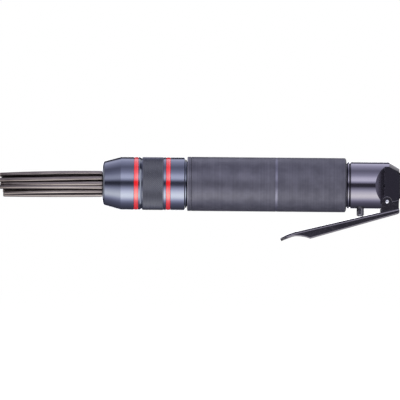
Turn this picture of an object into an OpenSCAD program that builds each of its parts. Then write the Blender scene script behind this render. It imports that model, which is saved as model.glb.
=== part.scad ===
// Needle scaler, an air-driven hand tool that cleans steel with a bundle of needles.
// The tool's axis is X: the needles point to -X and the air inlet to +X. The lever hangs to -Z.
// The origin is the middle of the inlet's mouth, and sizes are in millimetres.

/* [Needles] */
// Diameter of a needle
needle_d = 3; // [2:0.1:3.4]
// Length of a needle with its head
needle_len = 125; // [100:1:180]
// Step from a needle's side out to the side of its head
head_step = 0.3; // [0.2:0.05:0.5]
// Length of a needle's head
needle_head_len = 2; // [1:0.1:3]
// Gap between the heads of neighbouring needles
head_gap = 0.3; // [0.2:0.05:0.5]
// Slide of a needle between the holder's plate and the anvil
needle_float = 5; // [4:0.1:8]
// Setback of the rearmost tip from the foremost one
tip_stagger = 3.6; // [0:0.1:3.8]
// Turn of the outer ring of needles from the side of the tool, in degrees
ring_turn = 5; // [0:1:29]
// Radial clearance of a needle in its hole
needle_clear = 0.08; // [0.04:0.01:0.1]

/* [Holder and return spring] */
// Thickness of the holder's plate
holder_plate_len = 6; // [4:0.5:10]
// Radial clearance of the holder in the bore
holder_clear = 0.4; // [0.3:0.05:0.6]
// Radial clearance of the needle heads in the holder's cup
cup_clear = 0.4; // [0.3:0.05:1]
// Diameter of the return spring's wire
spring_wire_d = 2.2; // [1.6:0.1:2.6]
// Turns of the return spring
spring_turns = 7; // [4:1:9]
// Radial gap between the return spring and the bore
spring_gap = 0.9; // [0.4:0.1:1.2]

/* [Nose] */
// Length of the nose
nose_len = 60; // [52:0.5:80]
// Wall of the nose round the bore
nose_wall = 5.25; // [5:0.05:8]
// Length of the tapered front
taper_len = 13.2; // [8:0.1:18]
// Drop in radius along the taper
taper_drop = 3.4; // [1:0.05:4]
// Radius of the nose's front edge
nose_edge = 1.0; // [0.5:0.1:2]
// Thickness of the nose's front wall
nose_front_wall = 4.5; // [3:0.1:8]
// Radial clearance of the needle bundle in the nose's mouth
mouth_clear = 1.2; // [0.3:0.05:1.6]
// Chamfer of the mouth
mouth_chamfer = 0.8; // [0.3:0.1:1]
// Width of a band
band_w = 3.3; // [2:0.1:4]
// Depth of a band
band_depth = 1.5; // [0.5:0.1:1.8]
// Middle of the front band behind the nose's front
front_band_at = 24.4; // [21:0.1:25]
// Middle of the rear band behind the nose's front
rear_band_at = 47.8; // [47.5:0.1:49]
// Start of the knurled band behind the nose's front
knurl_at = 28.8; // [28.5:0.1:29.5]
// Length of the knurled band
knurl_len = 15.7; // [10:0.1:15.9]
// Depth of the bevels at the ends of the knurled band
knurl_bevel = 0.7; // [0.2:0.1:1]
// Small chamfer on turned edges
edge = 0.4; // [0.1:0.1:0.6]

/* [Barrel and grip] */
// Bore of the nose and the barrel
bore_d = 28; // [27:0.5:30]
// Wall of the barrel
barrel_wall = 2.6; // [2:0.1:3.4]
// Length of the barrel's spigot in the nose
spigot_len = 14.3; // [12:0.1:18]
// Step from the barrel's outside in to its spigot
spigot_step = 0.6; // [0.2:0.1:1]
// Step from the barrel's outside out to its collar
collar_step = 1; // [0.4:0.1:2]
// Width of the groove between nose and grip
groove_w = 1.6; // [0.8:0.1:4]
// Length of the grip
grip_len = 116; // [100:1:140]
// Wall of the grip
grip_wall = 3; // [2:0.1:5]
// Radial clearance between barrel and grip
grip_clear = 0.15; // [0.1:0.05:0.3]
// Distance of the ring line behind the grip's front
line_at = 65; // [20:0.5:90]
// Width of the ring line
line_w = 1.6; // [0.4:0.1:2.4]
// Depth of the ring line
line_depth = 0.35; // [0.1:0.05:0.6]
// Chamfer of the grip's rear edge
grip_chamfer = 2.9; // [0.5:0.1:2.9]
// Width of the lock ring between grip and head
lock_ring_w = 2.8; // [1.5:0.1:6]

/* [Power unit] */
// Reach of the anvil's front ahead of the nose's rear end
anvil_reach = 5.6; // [2:0.1:8]
// Length of the anvil's flange
anvil_flange_len = 10.3; // [6:0.1:14]
// Radial gap between the anvil's flange and the bore
anvil_gap = 1.2; // [0.4:0.1:2]
// Radial gap between the anvil's tail and the cylinder's bore
tail_gap = 2; // [1:0.1:3]
// Reach of the anvil's tail into the cylinder
tail_reach = 12; // [6:0.5:16]
// Thickness of the anvil buffer
buffer_len = 2.4; // [1.5:0.1:5]
// Length of the anvil bush
bush_len = 12; // [8:0.5:16]
// Bore of the cylinder
cylinder_bore_d = 20; // [17:0.5:21]
// Wall of the cylinder between its lands
cylinder_wall = 2.4; // [1.5:0.1:2.8]
// Length of each of the cylinder's lands
land_len = 8; // [6:0.5:12]
// Diameter of an exhaust port
port_d = 3.6; // [2:0.1:5]
// Length of the piston
piston_len = 34; // [20:1:38]
// Gap behind the piston at rest
piston_rest = 2; // [1:0.5:5]
// Width of a groove in the piston
piston_groove_w = 2; // [1:0.1:3]
// Depth of a groove in the piston
piston_groove_depth = 0.8; // [0.3:0.1:1.5]
// Thickness of each valve plate
valve_plate_len = 3; // [2:0.1:5]
// Length of the valve room
valve_room_len = 4; // [3:0.1:6]
// Travel of the valve disc
valve_travel = 0.8; // [0.4:0.1:1.4]
// Width of the rim round the valve room
valve_rim_w = 3; // [2.6:0.1:3.4]
// Diameter of a dowel
dowel_d = 2; // [1.2:0.1:2.2]
// Reach of a dowel into the cylinder and into the head
dowel_reach = 3; // [1.5:0.1:5]

/* [Head] */
// Diameter of the head
head_d = 34; // [33:0.5:40]
// Length of the head
head_len = 35.9; // [34:0.1:45]
// Width across the head's flats
flat_w = 20; // [19:0.5:26]
// Length of the flats, up to their shoulders
flat_len = 10.7; // [9.5:0.1:14]
// Length of the chamfer on the head's rear edge
head_chamfer_len = 7.5; // [2:0.1:8]
// Drop in radius along that chamfer
head_chamfer_drop = 4.5; // [1:0.1:6]
// Length of the head's spigot in the barrel
head_spigot_len = 14.3; // [10:0.1:20]
// Radius of the head seal's section
seal_r = 0.68; // [0.4:0.02:0.9]

/* [Inlet] */
// Size of the inlet bushing's hexagon across its flats
hex_af = 19; // [18.5:0.5:22]
// Length of the hexagon
hex_len = 8; // [5:0.5:14]
// Thickness of the inlet gasket
gasket_len = 1; // [0.5:0.1:2]
// Diameter of the bushing's shank
shank_d = 16; // [14.5:0.1:16.4]
// Length of the bushing's shank
shank_len = 16; // [10:0.1:16.5]
// Wall diameter of the inlet thread
inlet_d = 11.4; // [9:0.1:11.6]
// Depth of the inlet thread
inlet_depth = 14; // [10:0.5:16]
// Diameter of the air passage
passage_d = 7; // [5:0.1:7]
// Thickness of the inlet screen
screen_len = 1; // [0.6:0.1:1.4]
// Diameter of a hole in the inlet screen
screen_hole_d = 2; // [1:0.1:3]

/* [Throttle] */
// Distance of the throttle's bore behind the head's front
throttle_at = 7.6; // [6.5:0.1:8.5]
// Diameter of the throttle's bore
throttle_bore_d = 11; // [10.5:0.1:11.6]
// Diameter of the plunger
plunger_d = 4.8; // [3.6:0.1:5.4]
// Travel of the plunger
plunger_travel = 3.4; // [2:0.1:4]
// Height of the throttle bush
throttle_bush_h = 4; // [3:0.1:5]
// Recess of the throttle bush in the head's underside
bush_inset = 1.2; // [1:0.1:2]
// Radius of the throttle seal's section
plunger_seal_r = 0.55; // [0.4:0.05:0.7]
// Height of the plunger's collar
plunger_collar_h = 1.4; // [0.8:0.1:2]
// Height of the valve seat
seat_h = 2; // [1:0.1:2.2]
// Diameter of the hole in the valve seat
seat_hole_d = 5.2; // [4.2:0.1:6]
// Height of the poppet
poppet_h = 1.8; // [1:0.1:2.5]
// Height of the room above the valve seat
poppet_room_h = 12.4; // [9:0.1:13]
// Diameter of the poppet spring's wire
poppet_wire_d = 0.7; // [0.5:0.05:0.9]
// Turns of the poppet spring
poppet_turns = 6; // [4:1:8]

/* [Lever] */
// Distance of the lever's pivot ahead of the head's rear end
pivot_ahead = 9; // [8:0.1:9.4]
// Drop of the lever's pivot below the tool's axis
pivot_drop = 11.7; // [11.4:0.1:12]
// Diameter of the pivot pin
pin_d = 3; // [2:0.1:4]
// Reach of the pivot pin past the lever's side
pin_reach = 0.5; // [0.2:0.1:1.5]
// Slope of the lever's web, in degrees
lever_slope = 13.6; // [12:0.1:18]
// Distance of the web's upper face below the pivot
web_drop = 6.4; // [6.2:0.1:8]
// Distance from the pivot along the web to the curl at its tip
web_reach = 69.2; // [50:0.1:100]
// Radius of the curl at the tip
curl_r = 43; // [20:1:80]
// Turn of the curl at the tip, in degrees
curl_turn = 17.4; // [9:0.1:40]
// Reach of the lever behind the pivot, along the web
lever_tail = 7.4; // [5.5:0.1:7.8]
// Drop of the sides' top edge behind the pivot, below the pivot
side_drop = 0.7; // [0:0.1:3]
// Thickness of the lever's sheet
sheet = 1.6; // [1.2:0.1:2.4]
// Gap between the head's flats and the lever's ears
ear_gap = 0.3; // [0.25:0.05:0.8]
// Radius of the lever's ears round the pivot
ear_r = 3.8; // [3.2:0.1:4.4]
// Depth of the flanges at the front end, from the web's upper face
flange_front_h = 7.2; // [4:0.1:12]
// Depth of the flanges at the rear end, from the web's upper face
flange_rear_h = 4.2; // [4:0.1:6]
// Distance of the flanges' front corner behind the curl
flange_setback = 8.6; // [6:0.1:25]
// Depth of the lip that runs on to the tip, from the web's upper face
lip_h = 2.7; // [2.5:0.1:3.5]
// Corner radius of the tip, seen from above
tip_corner_r = 5; // [2:0.5:9]

/* [Clearances] */
// Clearance between pieces that are fixed to each other
fit = 0.05; // [0.02:0.01:0.1]
// Radial clearance between a piece that moves and its guide
running = 0.05; // [0.02:0.01:0.1]
// Gap between pieces that rest against each other and come apart in use
seat_gap = 0.3; // [0.2:0.05:0.5]

/* [Hidden] */
$fn = 96;
over = 1;
needle_count = 19;
inner_count = 6;
outer_count = 12;

// Radii of the round pieces
needle_r = needle_d / 2;
head_r_needle = needle_r + head_step;
needle_pitch = 2 * head_r_needle + head_gap;
inner_ring_r = needle_pitch;
outer_ring_r = needle_pitch / (2 * sin(180 / outer_count));
bundle_r = outer_ring_r + needle_r;
bore_r = bore_d / 2;
holder_r = bore_r - holder_clear;
cup_r = outer_ring_r + head_r_needle + cup_clear;
spring_r = bore_r - spring_gap - spring_wire_d / 2;
nose_r = bore_r + nose_wall;
mouth_r = bundle_r + mouth_clear;
barrel_r = bore_r + barrel_wall;
spigot_r = barrel_r - spigot_step;
socket_r = spigot_r + fit;
collar_r = barrel_r + collar_step;
grip_bore_r = barrel_r + grip_clear;
grip_r = grip_bore_r + grip_wall;
cylinder_bore_r = cylinder_bore_d / 2;
piston_r = cylinder_bore_r - running;
tail_r = cylinder_bore_r - tail_gap;
insert_r = bore_r - fit;
valve_room_r = insert_r - valve_rim_w;
dowel_r = dowel_d / 2;
dowel_ring_r = insert_r - valve_rim_w / 2;
head_r = head_d / 2;
flat_y = flat_w / 2;
shank_r = shank_d / 2;
inlet_r = inlet_d / 2;
passage_r = passage_d / 2;

// Stations along the axis, from the inlet forwards
x_head_rear = -(hex_len + gasket_len);
x_head_front = x_head_rear - head_len;
x_grip_rear = x_head_front - lock_ring_w;
x_grip_front = x_grip_rear - grip_len;
x_nose_rear = x_grip_front - groove_w;
x_nose_front = x_nose_rear - nose_len;
x_barrel_front = x_nose_rear - spigot_len;
x_barrel_rear = x_grip_rear;
x_spigot_front = x_grip_rear - head_spigot_len;
x_rear_plate = x_spigot_front - valve_plate_len;
x_valve_room = x_rear_plate - valve_room_len;
x_chest_front = x_valve_room - valve_plate_len;
x_anvil_front = x_nose_rear - anvil_reach;
x_anvil_back = x_anvil_front + anvil_flange_len;
x_buffer_front = x_anvil_back + seat_gap;
x_bush_front = x_buffer_front + buffer_len;
x_cylinder_front = x_bush_front + bush_len;
x_tail_rear = x_cylinder_front + tail_reach;
x_piston_rear = x_chest_front - piston_rest;
x_plate_rear = x_anvil_front - needle_float - needle_head_len;
x_plate_front = x_plate_rear - holder_plate_len;
x_cup_rim = x_anvil_front - seat_gap;
x_spring_front = x_nose_front + nose_front_wall;
x_seal = (x_spigot_front + x_grip_rear) / 2;
x_shank_front = x_head_rear - shank_len;
x_screen_front = x_shank_front - screen_len - seat_gap;
x_inlet_hole = x_screen_front - seat_gap;
x_throttle = x_head_front + throttle_at;

// The pivot and the line of the lever's web
pivot_x = x_head_rear - pivot_ahead;
pivot_z = -pivot_drop;
pin_r = pin_d / 2;
ear_in_y = flat_y + ear_gap;
ear_out_y = ear_in_y + sheet;
ear_relief = 1.2;
ear_foot = 2.6;
lever_rear_r = 2.1;
plunger_r = plunger_d / 2;
web_z = pivot_z - (web_drop + (pivot_x - x_throttle) * sin(lever_slope)) / cos(lever_slope);
plunger_ball_z = web_z + (plunger_r + seat_gap) / cos(lever_slope);

// Heights of the throttle's pieces
throttle_r = throttle_bore_d / 2;
z_bush_bottom = -(head_r - bush_inset);
z_bush_top = z_bush_bottom + throttle_bush_h;
z_collar = z_bush_top + seat_gap;
z_collar_top = z_collar + plunger_collar_h;
z_seat = z_collar_top + plunger_travel + seat_gap;
z_seat_top = z_seat + seat_h;
z_poppet = z_seat_top + fit;
z_poppet_top = z_poppet + poppet_h;
z_room_top = z_seat_top + poppet_room_h;
z_lower_passage = (z_bush_top + z_seat) / 2;
lower_passage_r = 2;
air_gap = 1.2;
plunger_collar_r = throttle_r - air_gap;
plunger_stem_r = seat_hole_d / 2 - air_gap;
seal_ring_r = plunger_r + running + plunger_seal_r;
seal_room_h = 2 * plunger_seal_r + 2 * fit;
poppet_r = throttle_r - air_gap;
poppet_boss_r = 1.4;
poppet_spring_r = (poppet_boss_r + poppet_r) / 2;

function two_digits(n) = n < 10 ? str("0", n) : str(n);
function needle_name(i) = str("needle_", two_digits(i + 1));
function needle_ring_r(i) = i == 0 ? 0 : i <= inner_count ? inner_ring_r : outer_ring_r;
function inner_angle(k) = ring_turn + 180 / outer_count + 360 * k / inner_count;
function outer_angle(k) = ring_turn + 360 * k / outer_count;
function needle_angle(i) = i <= inner_count ? inner_angle(i - 1) : outer_angle(i - 1 - inner_count);
function needle_y(i) = -needle_ring_r(i) * cos(needle_angle(i));
function needle_z(i) = needle_ring_r(i) * sin(needle_angle(i));
function tip_setback(i) = tip_stagger * ((2 * i + 3) % needle_count) / (needle_count - 1);

// Section of a band's groove in the nose, as [x, radius] points
function band_groove(middle_at) =
    let (x0 = x_nose_front + middle_at - band_w / 2, x1 = x0 + band_w, floor_r = nose_r - band_depth)
    [[x0, nose_r], [x0, floor_r], [x1, floor_r], [x1, nose_r]];

// A turned piece from its half section, as [x, radius] points
module turned(points) {
    rotate([0, 90, 0]) rotate_extrude() polygon([for (p = points) [p[1], p[0]]]);
}

// A plain ring round the axis
module ring(x0, x1, r_out, r_in) {
    turned([[x0, r_in], [x0, r_out], [x1, r_out], [x1, r_in]]);
}

// A hole or rod along X
module rod_x(x0, x1, r, y = 0, z = 0) {
    translate([x0, y, z]) rotate([0, 90, 0]) cylinder(h = x1 - x0, r = r);
}

// A hole or rod along Z in the throttle's bore
module rod_z(z0, z1, r) {
    translate([x_throttle, 0, z0]) cylinder(h = z1 - z0, r = r);
}

// Holes along X on a circle
module holes_x(x0, x1, r, ring_r, count, turn = 0) {
    for (k = [0:count - 1]) {
        angle = turn + 360 * k / count;
        rod_x(x0 - over, x1 + over, r, ring_r * cos(angle), ring_r * sin(angle));
    }
}

// A coil spring that stands on z = 0, as one unbroken tube
module coil_spring(length, mean_r, wire_r, turns) {
    sides = 8;
    rings = 16 * turns;
    rise = length - 2 * wire_r;
    points = [
        for (i = [0:rings], j = [0:sides - 1])
            let (t = 360 * turns * i / rings, s = 360 * j / sides, r = mean_r + wire_r * cos(s))
            [r * cos(t), r * sin(t), wire_r + rise * i / rings + wire_r * sin(s)]
    ];
    walls = [
        for (i = [0:rings - 1], j = [0:sides - 1])
            let (a = i * sides + j, b = i * sides + (j + 1) % sides)
            each [[a, b, b + sides], [a, b + sides, a + sides]]
    ];
    last = rings * sides;
    ends = [for (j = [1:sides - 2]) each [[0, j + 1, j], [last, last + j, last + j + 1]]];
    polyhedron(points = points, faces = concat(walls, ends), convexity = 10);
}

module nose() {
    face_r = nose_r - taper_drop - nose_edge;
    knurl_x = x_nose_front + knurl_at;
    knurl_end = knurl_x + knurl_len;
    knurl_r = nose_r - knurl_bevel / 2;
    color("#3c4350") turned(concat(
        [[x_nose_front, mouth_r + mouth_chamfer], [x_nose_front, face_r]],
        [for (a = [15:15:75]) [x_nose_front + nose_edge * (1 - cos(a)), face_r + nose_edge * sin(a)]],
        [[x_nose_front + nose_edge, face_r + nose_edge], [x_nose_front + taper_len, nose_r]],
        band_groove(front_band_at),
        [[knurl_x - knurl_bevel, nose_r], [knurl_x, nose_r - knurl_bevel], [knurl_x, knurl_r]],
        [[knurl_end, knurl_r], [knurl_end, nose_r - knurl_bevel], [knurl_end + knurl_bevel, nose_r]],
        band_groove(rear_band_at),
        [[x_nose_rear - edge, nose_r], [x_nose_rear, nose_r - edge], [x_nose_rear, socket_r]],
        [[x_barrel_front - fit, socket_r], [x_barrel_front - fit, bore_r], [x_spring_front, bore_r]],
        [[x_spring_front, mouth_r], [x_nose_front + mouth_chamfer, mouth_r]]
    ));
}

// A band that fills its groove in the nose, with eased edges
module band(middle_at) {
    x0 = x_nose_front + middle_at - band_w / 2 + fit;
    x1 = x0 + band_w - 2 * fit;
    ease = min(edge, band_depth / 2);
    base_r = nose_r - band_depth + fit;
    color("#b3151b") turned([
        [x0, base_r],
        [x0, nose_r - ease],
        [x0 + ease, nose_r],
        [x1 - ease, nose_r],
        [x1, nose_r - ease],
        [x1, base_r]
    ]);
}

module front_band() {
    band(front_band_at);
}

module rear_band() {
    band(rear_band_at);
}

module return_spring() {
    length = x_plate_front - x_spring_front - 2 * seat_gap;
    color("#7b7f86") translate([x_spring_front + seat_gap, 0, 0]) rotate([0, 90, 0])
        coil_spring(length, spring_r, spring_wire_d / 2, spring_turns);
}

module needle_holder() {
    hole_r = needle_r + needle_clear;
    color("#6a6e75") difference() {
        turned([
            [x_plate_front, 0],
            [x_plate_front, holder_r - edge],
            [x_plate_front + edge, holder_r],
            [x_cup_rim, holder_r],
            [x_cup_rim, cup_r],
            [x_plate_rear, cup_r],
            [x_plate_rear, 0]
        ]);
        for (i = [0:needle_count - 1])
            rod_x(x_plate_front - over, x_plate_rear + over, hole_r, needle_y(i), needle_z(i));
    }
}

module needle(i) {
    x_head = x_plate_rear + fit + tip_setback(i);
    x_end = x_head + needle_head_len;
    color("#8a8280") translate([0, needle_y(i), needle_z(i)]) turned([
        [x_end - needle_len, 0],
        [x_end - needle_len, needle_r],
        [x_head, needle_r],
        [x_head, head_r_needle],
        [x_end - fit, head_r_needle],
        [x_end - fit, 0]
    ]);
}

module anvil() {
    flange_r = bore_r - anvil_gap;
    color("#565a61") turned([
        [x_anvil_front, 0],
        [x_anvil_front, flange_r - edge],
        [x_anvil_front + edge, flange_r],
        [x_anvil_back, flange_r],
        [x_anvil_back, tail_r],
        [x_tail_rear - edge, tail_r],
        [x_tail_rear, tail_r - edge],
        [x_tail_rear, 0]
    ]);
}

module anvil_buffer() {
    color("#1d1d1f") ring(x_buffer_front, x_bush_front, bore_r - seat_gap, tail_r + seat_gap);
}

module anvil_bush() {
    vent_r = 1.2;
    vent_ring_r = (tail_r + insert_r) / 2;
    color("#a07a42") difference() {
        ring(x_bush_front, x_cylinder_front, insert_r, tail_r + running);
        holes_x(x_bush_front, x_cylinder_front, vent_r, vent_ring_r, 4, 45);
    }
}

module barrel() {
    color("#33373e") turned([
        [x_barrel_front, bore_r],
        [x_barrel_front, spigot_r - edge],
        [x_barrel_front + edge, spigot_r],
        [x_nose_rear, spigot_r],
        [x_nose_rear, collar_r],
        [x_grip_front, collar_r],
        [x_grip_front, barrel_r],
        [x_barrel_rear, barrel_r],
        [x_barrel_rear, bore_r]
    ]);
}

module grip() {
    chamfer = min(grip_chamfer, grip_wall - edge);
    line_x = x_grip_front + line_at;
    color("#54535e") turned([
        [x_grip_front, grip_bore_r],
        [x_grip_front, grip_r - edge],
        [x_grip_front + edge, grip_r],
        [line_x - line_w / 2, grip_r],
        [line_x, grip_r - line_depth],
        [line_x + line_w / 2, grip_r],
        [x_grip_rear - chamfer, grip_r],
        [x_grip_rear, grip_r - chamfer],
        [x_grip_rear, grip_bore_r]
    ]);
}

module lock_ring() {
    ease = min(edge, lock_ring_w / 4);
    color("#77738c") turned([
        [x_grip_rear, insert_r + fit],
        [x_grip_rear, head_r - ease],
        [x_grip_rear + ease, head_r],
        [x_head_front - ease, head_r],
        [x_head_front, head_r - ease],
        [x_head_front, insert_r + fit]
    ]);
}

// The cylinder that the piston runs in
module cylinder_liner() {
    outer_r = cylinder_bore_r + cylinder_wall;
    port_x = (x_tail_rear + x_piston_rear) / 2;
    slot_w = 6;
    color("#8d9096") difference() {
        turned([
            [x_cylinder_front, cylinder_bore_r],
            [x_cylinder_front, insert_r],
            [x_cylinder_front + land_len, insert_r],
            [x_cylinder_front + land_len, outer_r],
            [x_chest_front - land_len, outer_r],
            [x_chest_front - land_len, insert_r],
            [x_chest_front, insert_r],
            [x_chest_front, cylinder_bore_r]
        ]);
        for (a = [45, 135]) rotate([a, 0, 0]) translate([port_x, 0, 0])
            cylinder(h = 2 * bore_r, d = port_d, center = true);
        for (a = [45:90:315]) rotate([a, 0, 0]) translate([x_cylinder_front - over, -slot_w / 2, outer_r])
            cube([land_len + 2 * over, slot_w, bore_r]);
        dowel_holes();
    }
}

module piston() {
    x_front = x_piston_rear - piston_len;
    groove_r = piston_r - piston_groove_depth;
    groove_x = [x_front + piston_len / 4, x_front + piston_len * 3 / 4];
    color("#9a9da3") turned(concat(
        [[x_front, 0], [x_front, tail_r], [x_front + edge, tail_r], [x_front + edge, piston_r]],
        [for (x = groove_x) each [
            [x, piston_r],
            [x, groove_r],
            [x + piston_groove_w, groove_r],
            [x + piston_groove_w, piston_r]
        ]],
        [[x_piston_rear - edge, piston_r], [x_piston_rear, piston_r - edge], [x_piston_rear, 0]]
    ));
}

// The two dowels, and their holes when grown by a clearance
module dowel_rods(grow = 0) {
    for (y = [-dowel_ring_r, dowel_ring_r])
        rod_x(x_chest_front - dowel_reach - grow, x_spigot_front + dowel_reach + grow, dowel_r + grow, y);
}

module dowel_holes() {
    dowel_rods(fit);
}

module valve_dowels() {
    color("#8d9096") dowel_rods();
}

module valve_front_plate() {
    feed_r = 1.5;
    feed_ring_r = cylinder_bore_r * 0.6;
    color("#70747b") difference() {
        ring(x_chest_front, x_valve_room, insert_r, feed_r * 2);
        holes_x(x_chest_front, x_valve_room, feed_r, feed_ring_r, 4, 45);
        dowel_holes();
    }
}

module valve_disc() {
    x_rear = x_rear_plate - valve_travel - seat_gap;
    color("#a9acb2") ring(x_valve_room + fit, x_rear, valve_room_r - seat_gap, 0);
}

module valve_rear_plate() {
    feed_ring_r = -z_lower_passage;
    color("#70747b") difference() {
        turned([
            [x_valve_room, valve_room_r],
            [x_valve_room, insert_r],
            [x_spigot_front, insert_r],
            [x_spigot_front, 0],
            [x_rear_plate, 0],
            [x_rear_plate, valve_room_r]
        ]);
        holes_x(x_rear_plate, x_spigot_front, lower_passage_r, feed_ring_r, 4);
        dowel_holes();
    }
}

// Cuts a flat with its sloped shoulder from one side of the head
module head_flat() {
    x_flat = x_head_rear - flat_len;
    rise = head_r - flat_y + over;
    linear_extrude(height = 3 * head_r, center = true) polygon([
        [x_flat, flat_y],
        [x_flat - rise, flat_y + rise],
        [over, flat_y + rise],
        [over, flat_y]
    ]);
}

module head() {
    groove_r = insert_r - 2 * seal_r - fit;
    groove_w = 2 * seal_r + 2 * fit;
    color("#5c5870") difference() {
        turned([
            [x_spigot_front, 0],
            [x_spigot_front, insert_r],
            [x_seal - groove_w / 2, insert_r],
            [x_seal - groove_w / 2, groove_r],
            [x_seal + groove_w / 2, groove_r],
            [x_seal + groove_w / 2, insert_r],
            [x_head_front, insert_r],
            [x_head_front, head_r - edge],
            [x_head_front + edge, head_r],
            [x_head_rear - head_chamfer_len, head_r],
            [x_head_rear, head_r - head_chamfer_drop],
            [x_head_rear, 0]
        ]);
        head_flat();
        mirror([0, 1, 0]) head_flat();
        // Room for the lever's ears beside the flats
        for (side = [-1, 1]) translate([pivot_x, side * (flat_y + head_r / 2), pivot_z]) rotate([90, 0, 0])
            cylinder(h = head_r, r = ear_r + ear_relief, center = true);
        translate([pivot_x, 0, pivot_z]) rotate([90, 0, 0])
            cylinder(h = 2 * head_r, r = pin_r, center = true);
        rod_x(x_inlet_hole, x_head_rear + over, shank_r + fit);
        rod_x(x_throttle, x_inlet_hole + over, passage_r);
        rod_x(x_spigot_front - over, x_throttle, lower_passage_r, 0, z_lower_passage);
        rod_z(-head_r - over, z_room_top, throttle_r);
        dowel_holes();
    }
}

// A ring of round section about Z
module o_ring(ring_r, section_r) {
    rotate_extrude() translate([ring_r, 0]) circle(r = section_r, $fn = 32);
}

module head_seal() {
    color("#1d1d1f") translate([x_seal, 0, 0]) rotate([0, 90, 0]) o_ring(insert_r - seal_r, seal_r);
}

module inlet_bushing() {
    color("#6b6f76") difference() {
        union() {
            translate([x_head_rear + gasket_len, 0, 0]) rotate([0, 90, 0]) rotate([0, 0, 30])
                cylinder(h = hex_len, d = hex_af / cos(30), $fn = 6);
            rod_x(x_shank_front, x_head_rear + gasket_len + over, shank_r);
        }
        rod_x(-inlet_depth, over, inlet_r);
        rod_x(x_shank_front - over, over, passage_r);
    }
}

module inlet_gasket() {
    color("#a6703c") ring(x_head_rear, x_head_rear + gasket_len, hex_af / 2, shank_r + fit);
}

module inlet_screen() {
    hole_ring_r = passage_r - screen_hole_d / 2;
    color("#b08d4a") difference() {
        ring(x_screen_front, x_screen_front + screen_len, shank_r - fit, 0);
        holes_x(x_screen_front, x_screen_front + screen_len, screen_hole_d / 2, hole_ring_r, 5);
    }
}

module throttle_bush() {
    color("#a07a42") difference() {
        rod_z(z_bush_bottom, z_bush_top, throttle_r - fit);
        rod_z(z_bush_bottom - over, z_bush_top + over, plunger_r + running);
        rod_z(z_bush_top - seal_room_h, z_bush_top + over, seal_ring_r + plunger_seal_r + fit);
    }
}

module throttle_seal() {
    color("#1d1d1f") translate([x_throttle, 0, z_bush_top - seal_room_h / 2])
        o_ring(seal_ring_r, plunger_seal_r);
}

module plunger() {
    color("#c3c5c9") {
        translate([x_throttle, 0, plunger_ball_z]) sphere(r = plunger_r);
        rod_z(plunger_ball_z, z_collar + fit, plunger_r);
        rod_z(z_collar, z_collar_top, plunger_collar_r);
        rod_z(z_collar_top - fit, z_seat_top - fit, plunger_stem_r);
    }
}

module valve_seat() {
    color("#a07a42") difference() {
        rod_z(z_seat, z_seat_top, throttle_r - fit);
        rod_z(z_seat - over, z_seat_top + over, seat_hole_d / 2);
    }
}

module poppet() {
    color("#8d9096") {
        rod_z(z_poppet, z_poppet_top, poppet_r);
        rod_z(z_poppet_top - fit, z_poppet_top + poppet_h, poppet_boss_r);
    }
}

module poppet_spring() {
    length = z_room_top - z_poppet_top - 2 * fit;
    color("#7b7f86") translate([x_throttle, 0, z_poppet_top + fit])
        coil_spring(length, poppet_spring_r, poppet_wire_d / 2, poppet_turns);
}

// The lever's own frame: x runs along the web from the pivot, z points up from the web
module lever_frame() {
    translate([pivot_x, 0, pivot_z]) rotate([0, -lever_slope, 0]) rotate([0, 0, 180]) children();
}

// A slice of the curl at the tip, of a given depth from the web's upper face
module curl_slice(depth) {
    translate([web_reach, -web_drop - curl_r]) intersection() {
        difference() {
            circle(r = curl_r);
            circle(r = curl_r - depth);
        }
        polygon([[0, 0], [0, 2 * curl_r], [2 * curl_r * sin(curl_turn), 2 * curl_r * cos(curl_turn)]]);
    }
}

// Side view of a flange with its ear, its hollowed front end and its tall rear end
module flange_outline() {
    notch_h = flange_front_h - lip_h;
    notch_r = (flange_setback ^ 2 + notch_h ^ 2) / (2 * notch_h);
    front_w = -web_drop - flange_front_h;
    rear_w = -web_drop - flange_rear_h;
    rear_u = lever_rear_r - lever_tail;
    // The rear edges stand upright while the lever is at rest
    side_lean = (web_drop - side_drop) * tan(lever_slope);
    difference() {
        union() {
            circle(r = ear_r);
            translate([rear_u, rear_w + lever_rear_r]) circle(r = lever_rear_r);
            polygon([
                [ear_r, 0],
                [ear_r + ear_foot, -web_drop],
                [web_reach, -web_drop],
                [web_reach, front_w],
                [web_reach - flange_setback, front_w],
                [rear_u, rear_w],
                [-lever_tail, rear_w + lever_rear_r],
                [-lever_tail, -web_drop],
                [-lever_tail - side_lean, -side_drop],
                [0, -side_drop]
            ]);
        }
        translate([web_reach, front_w + notch_h - notch_r]) circle(r = notch_r);
        circle(r = pin_r + running);
    }
    curl_slice(lip_h);
}

// Side view of the web with the curl at its tip
module web_outline() {
    translate([-lever_tail, -web_drop - sheet]) square([web_reach + lever_tail, sheet]);
    curl_slice(sheet);
}

module lever() {
    tip_u = web_reach + curl_r * sin(curl_turn);
    color("#1b1b1d") lever_frame() difference() {
        union() {
            for (side = [-1, 1]) translate([0, side * (ear_in_y + ear_out_y) / 2, 0]) rotate([90, 0, 0])
                linear_extrude(height = sheet, center = true) flange_outline();
            rotate([90, 0, 0]) linear_extrude(height = 2 * ear_out_y, center = true) web_outline();
        }
        // Round corners at the tip
        for (side = [-1, 1]) translate([tip_u - tip_corner_r, side * (ear_out_y - tip_corner_r), 0])
            linear_extrude(height = 2 * (web_drop + curl_r), center = true) difference() {
                translate([0, side > 0 ? 0 : -2 * tip_corner_r]) square(2 * tip_corner_r);
                circle(r = tip_corner_r);
            }
    }
}

// A plain pin with chamfered ends
module pivot_pin() {
    half = ear_out_y + pin_reach;
    ease = min(edge, pin_reach);
    color("#c3c5c9") translate([pivot_x, 0, pivot_z]) rotate([90, 0, 0]) rotate_extrude() polygon([
        [0, -half],
        [pin_r - ease, -half],
        [pin_r, ease - half],
        [pin_r, half - ease],
        [pin_r - ease, half],
        [0, half]
    ]);
}

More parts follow.
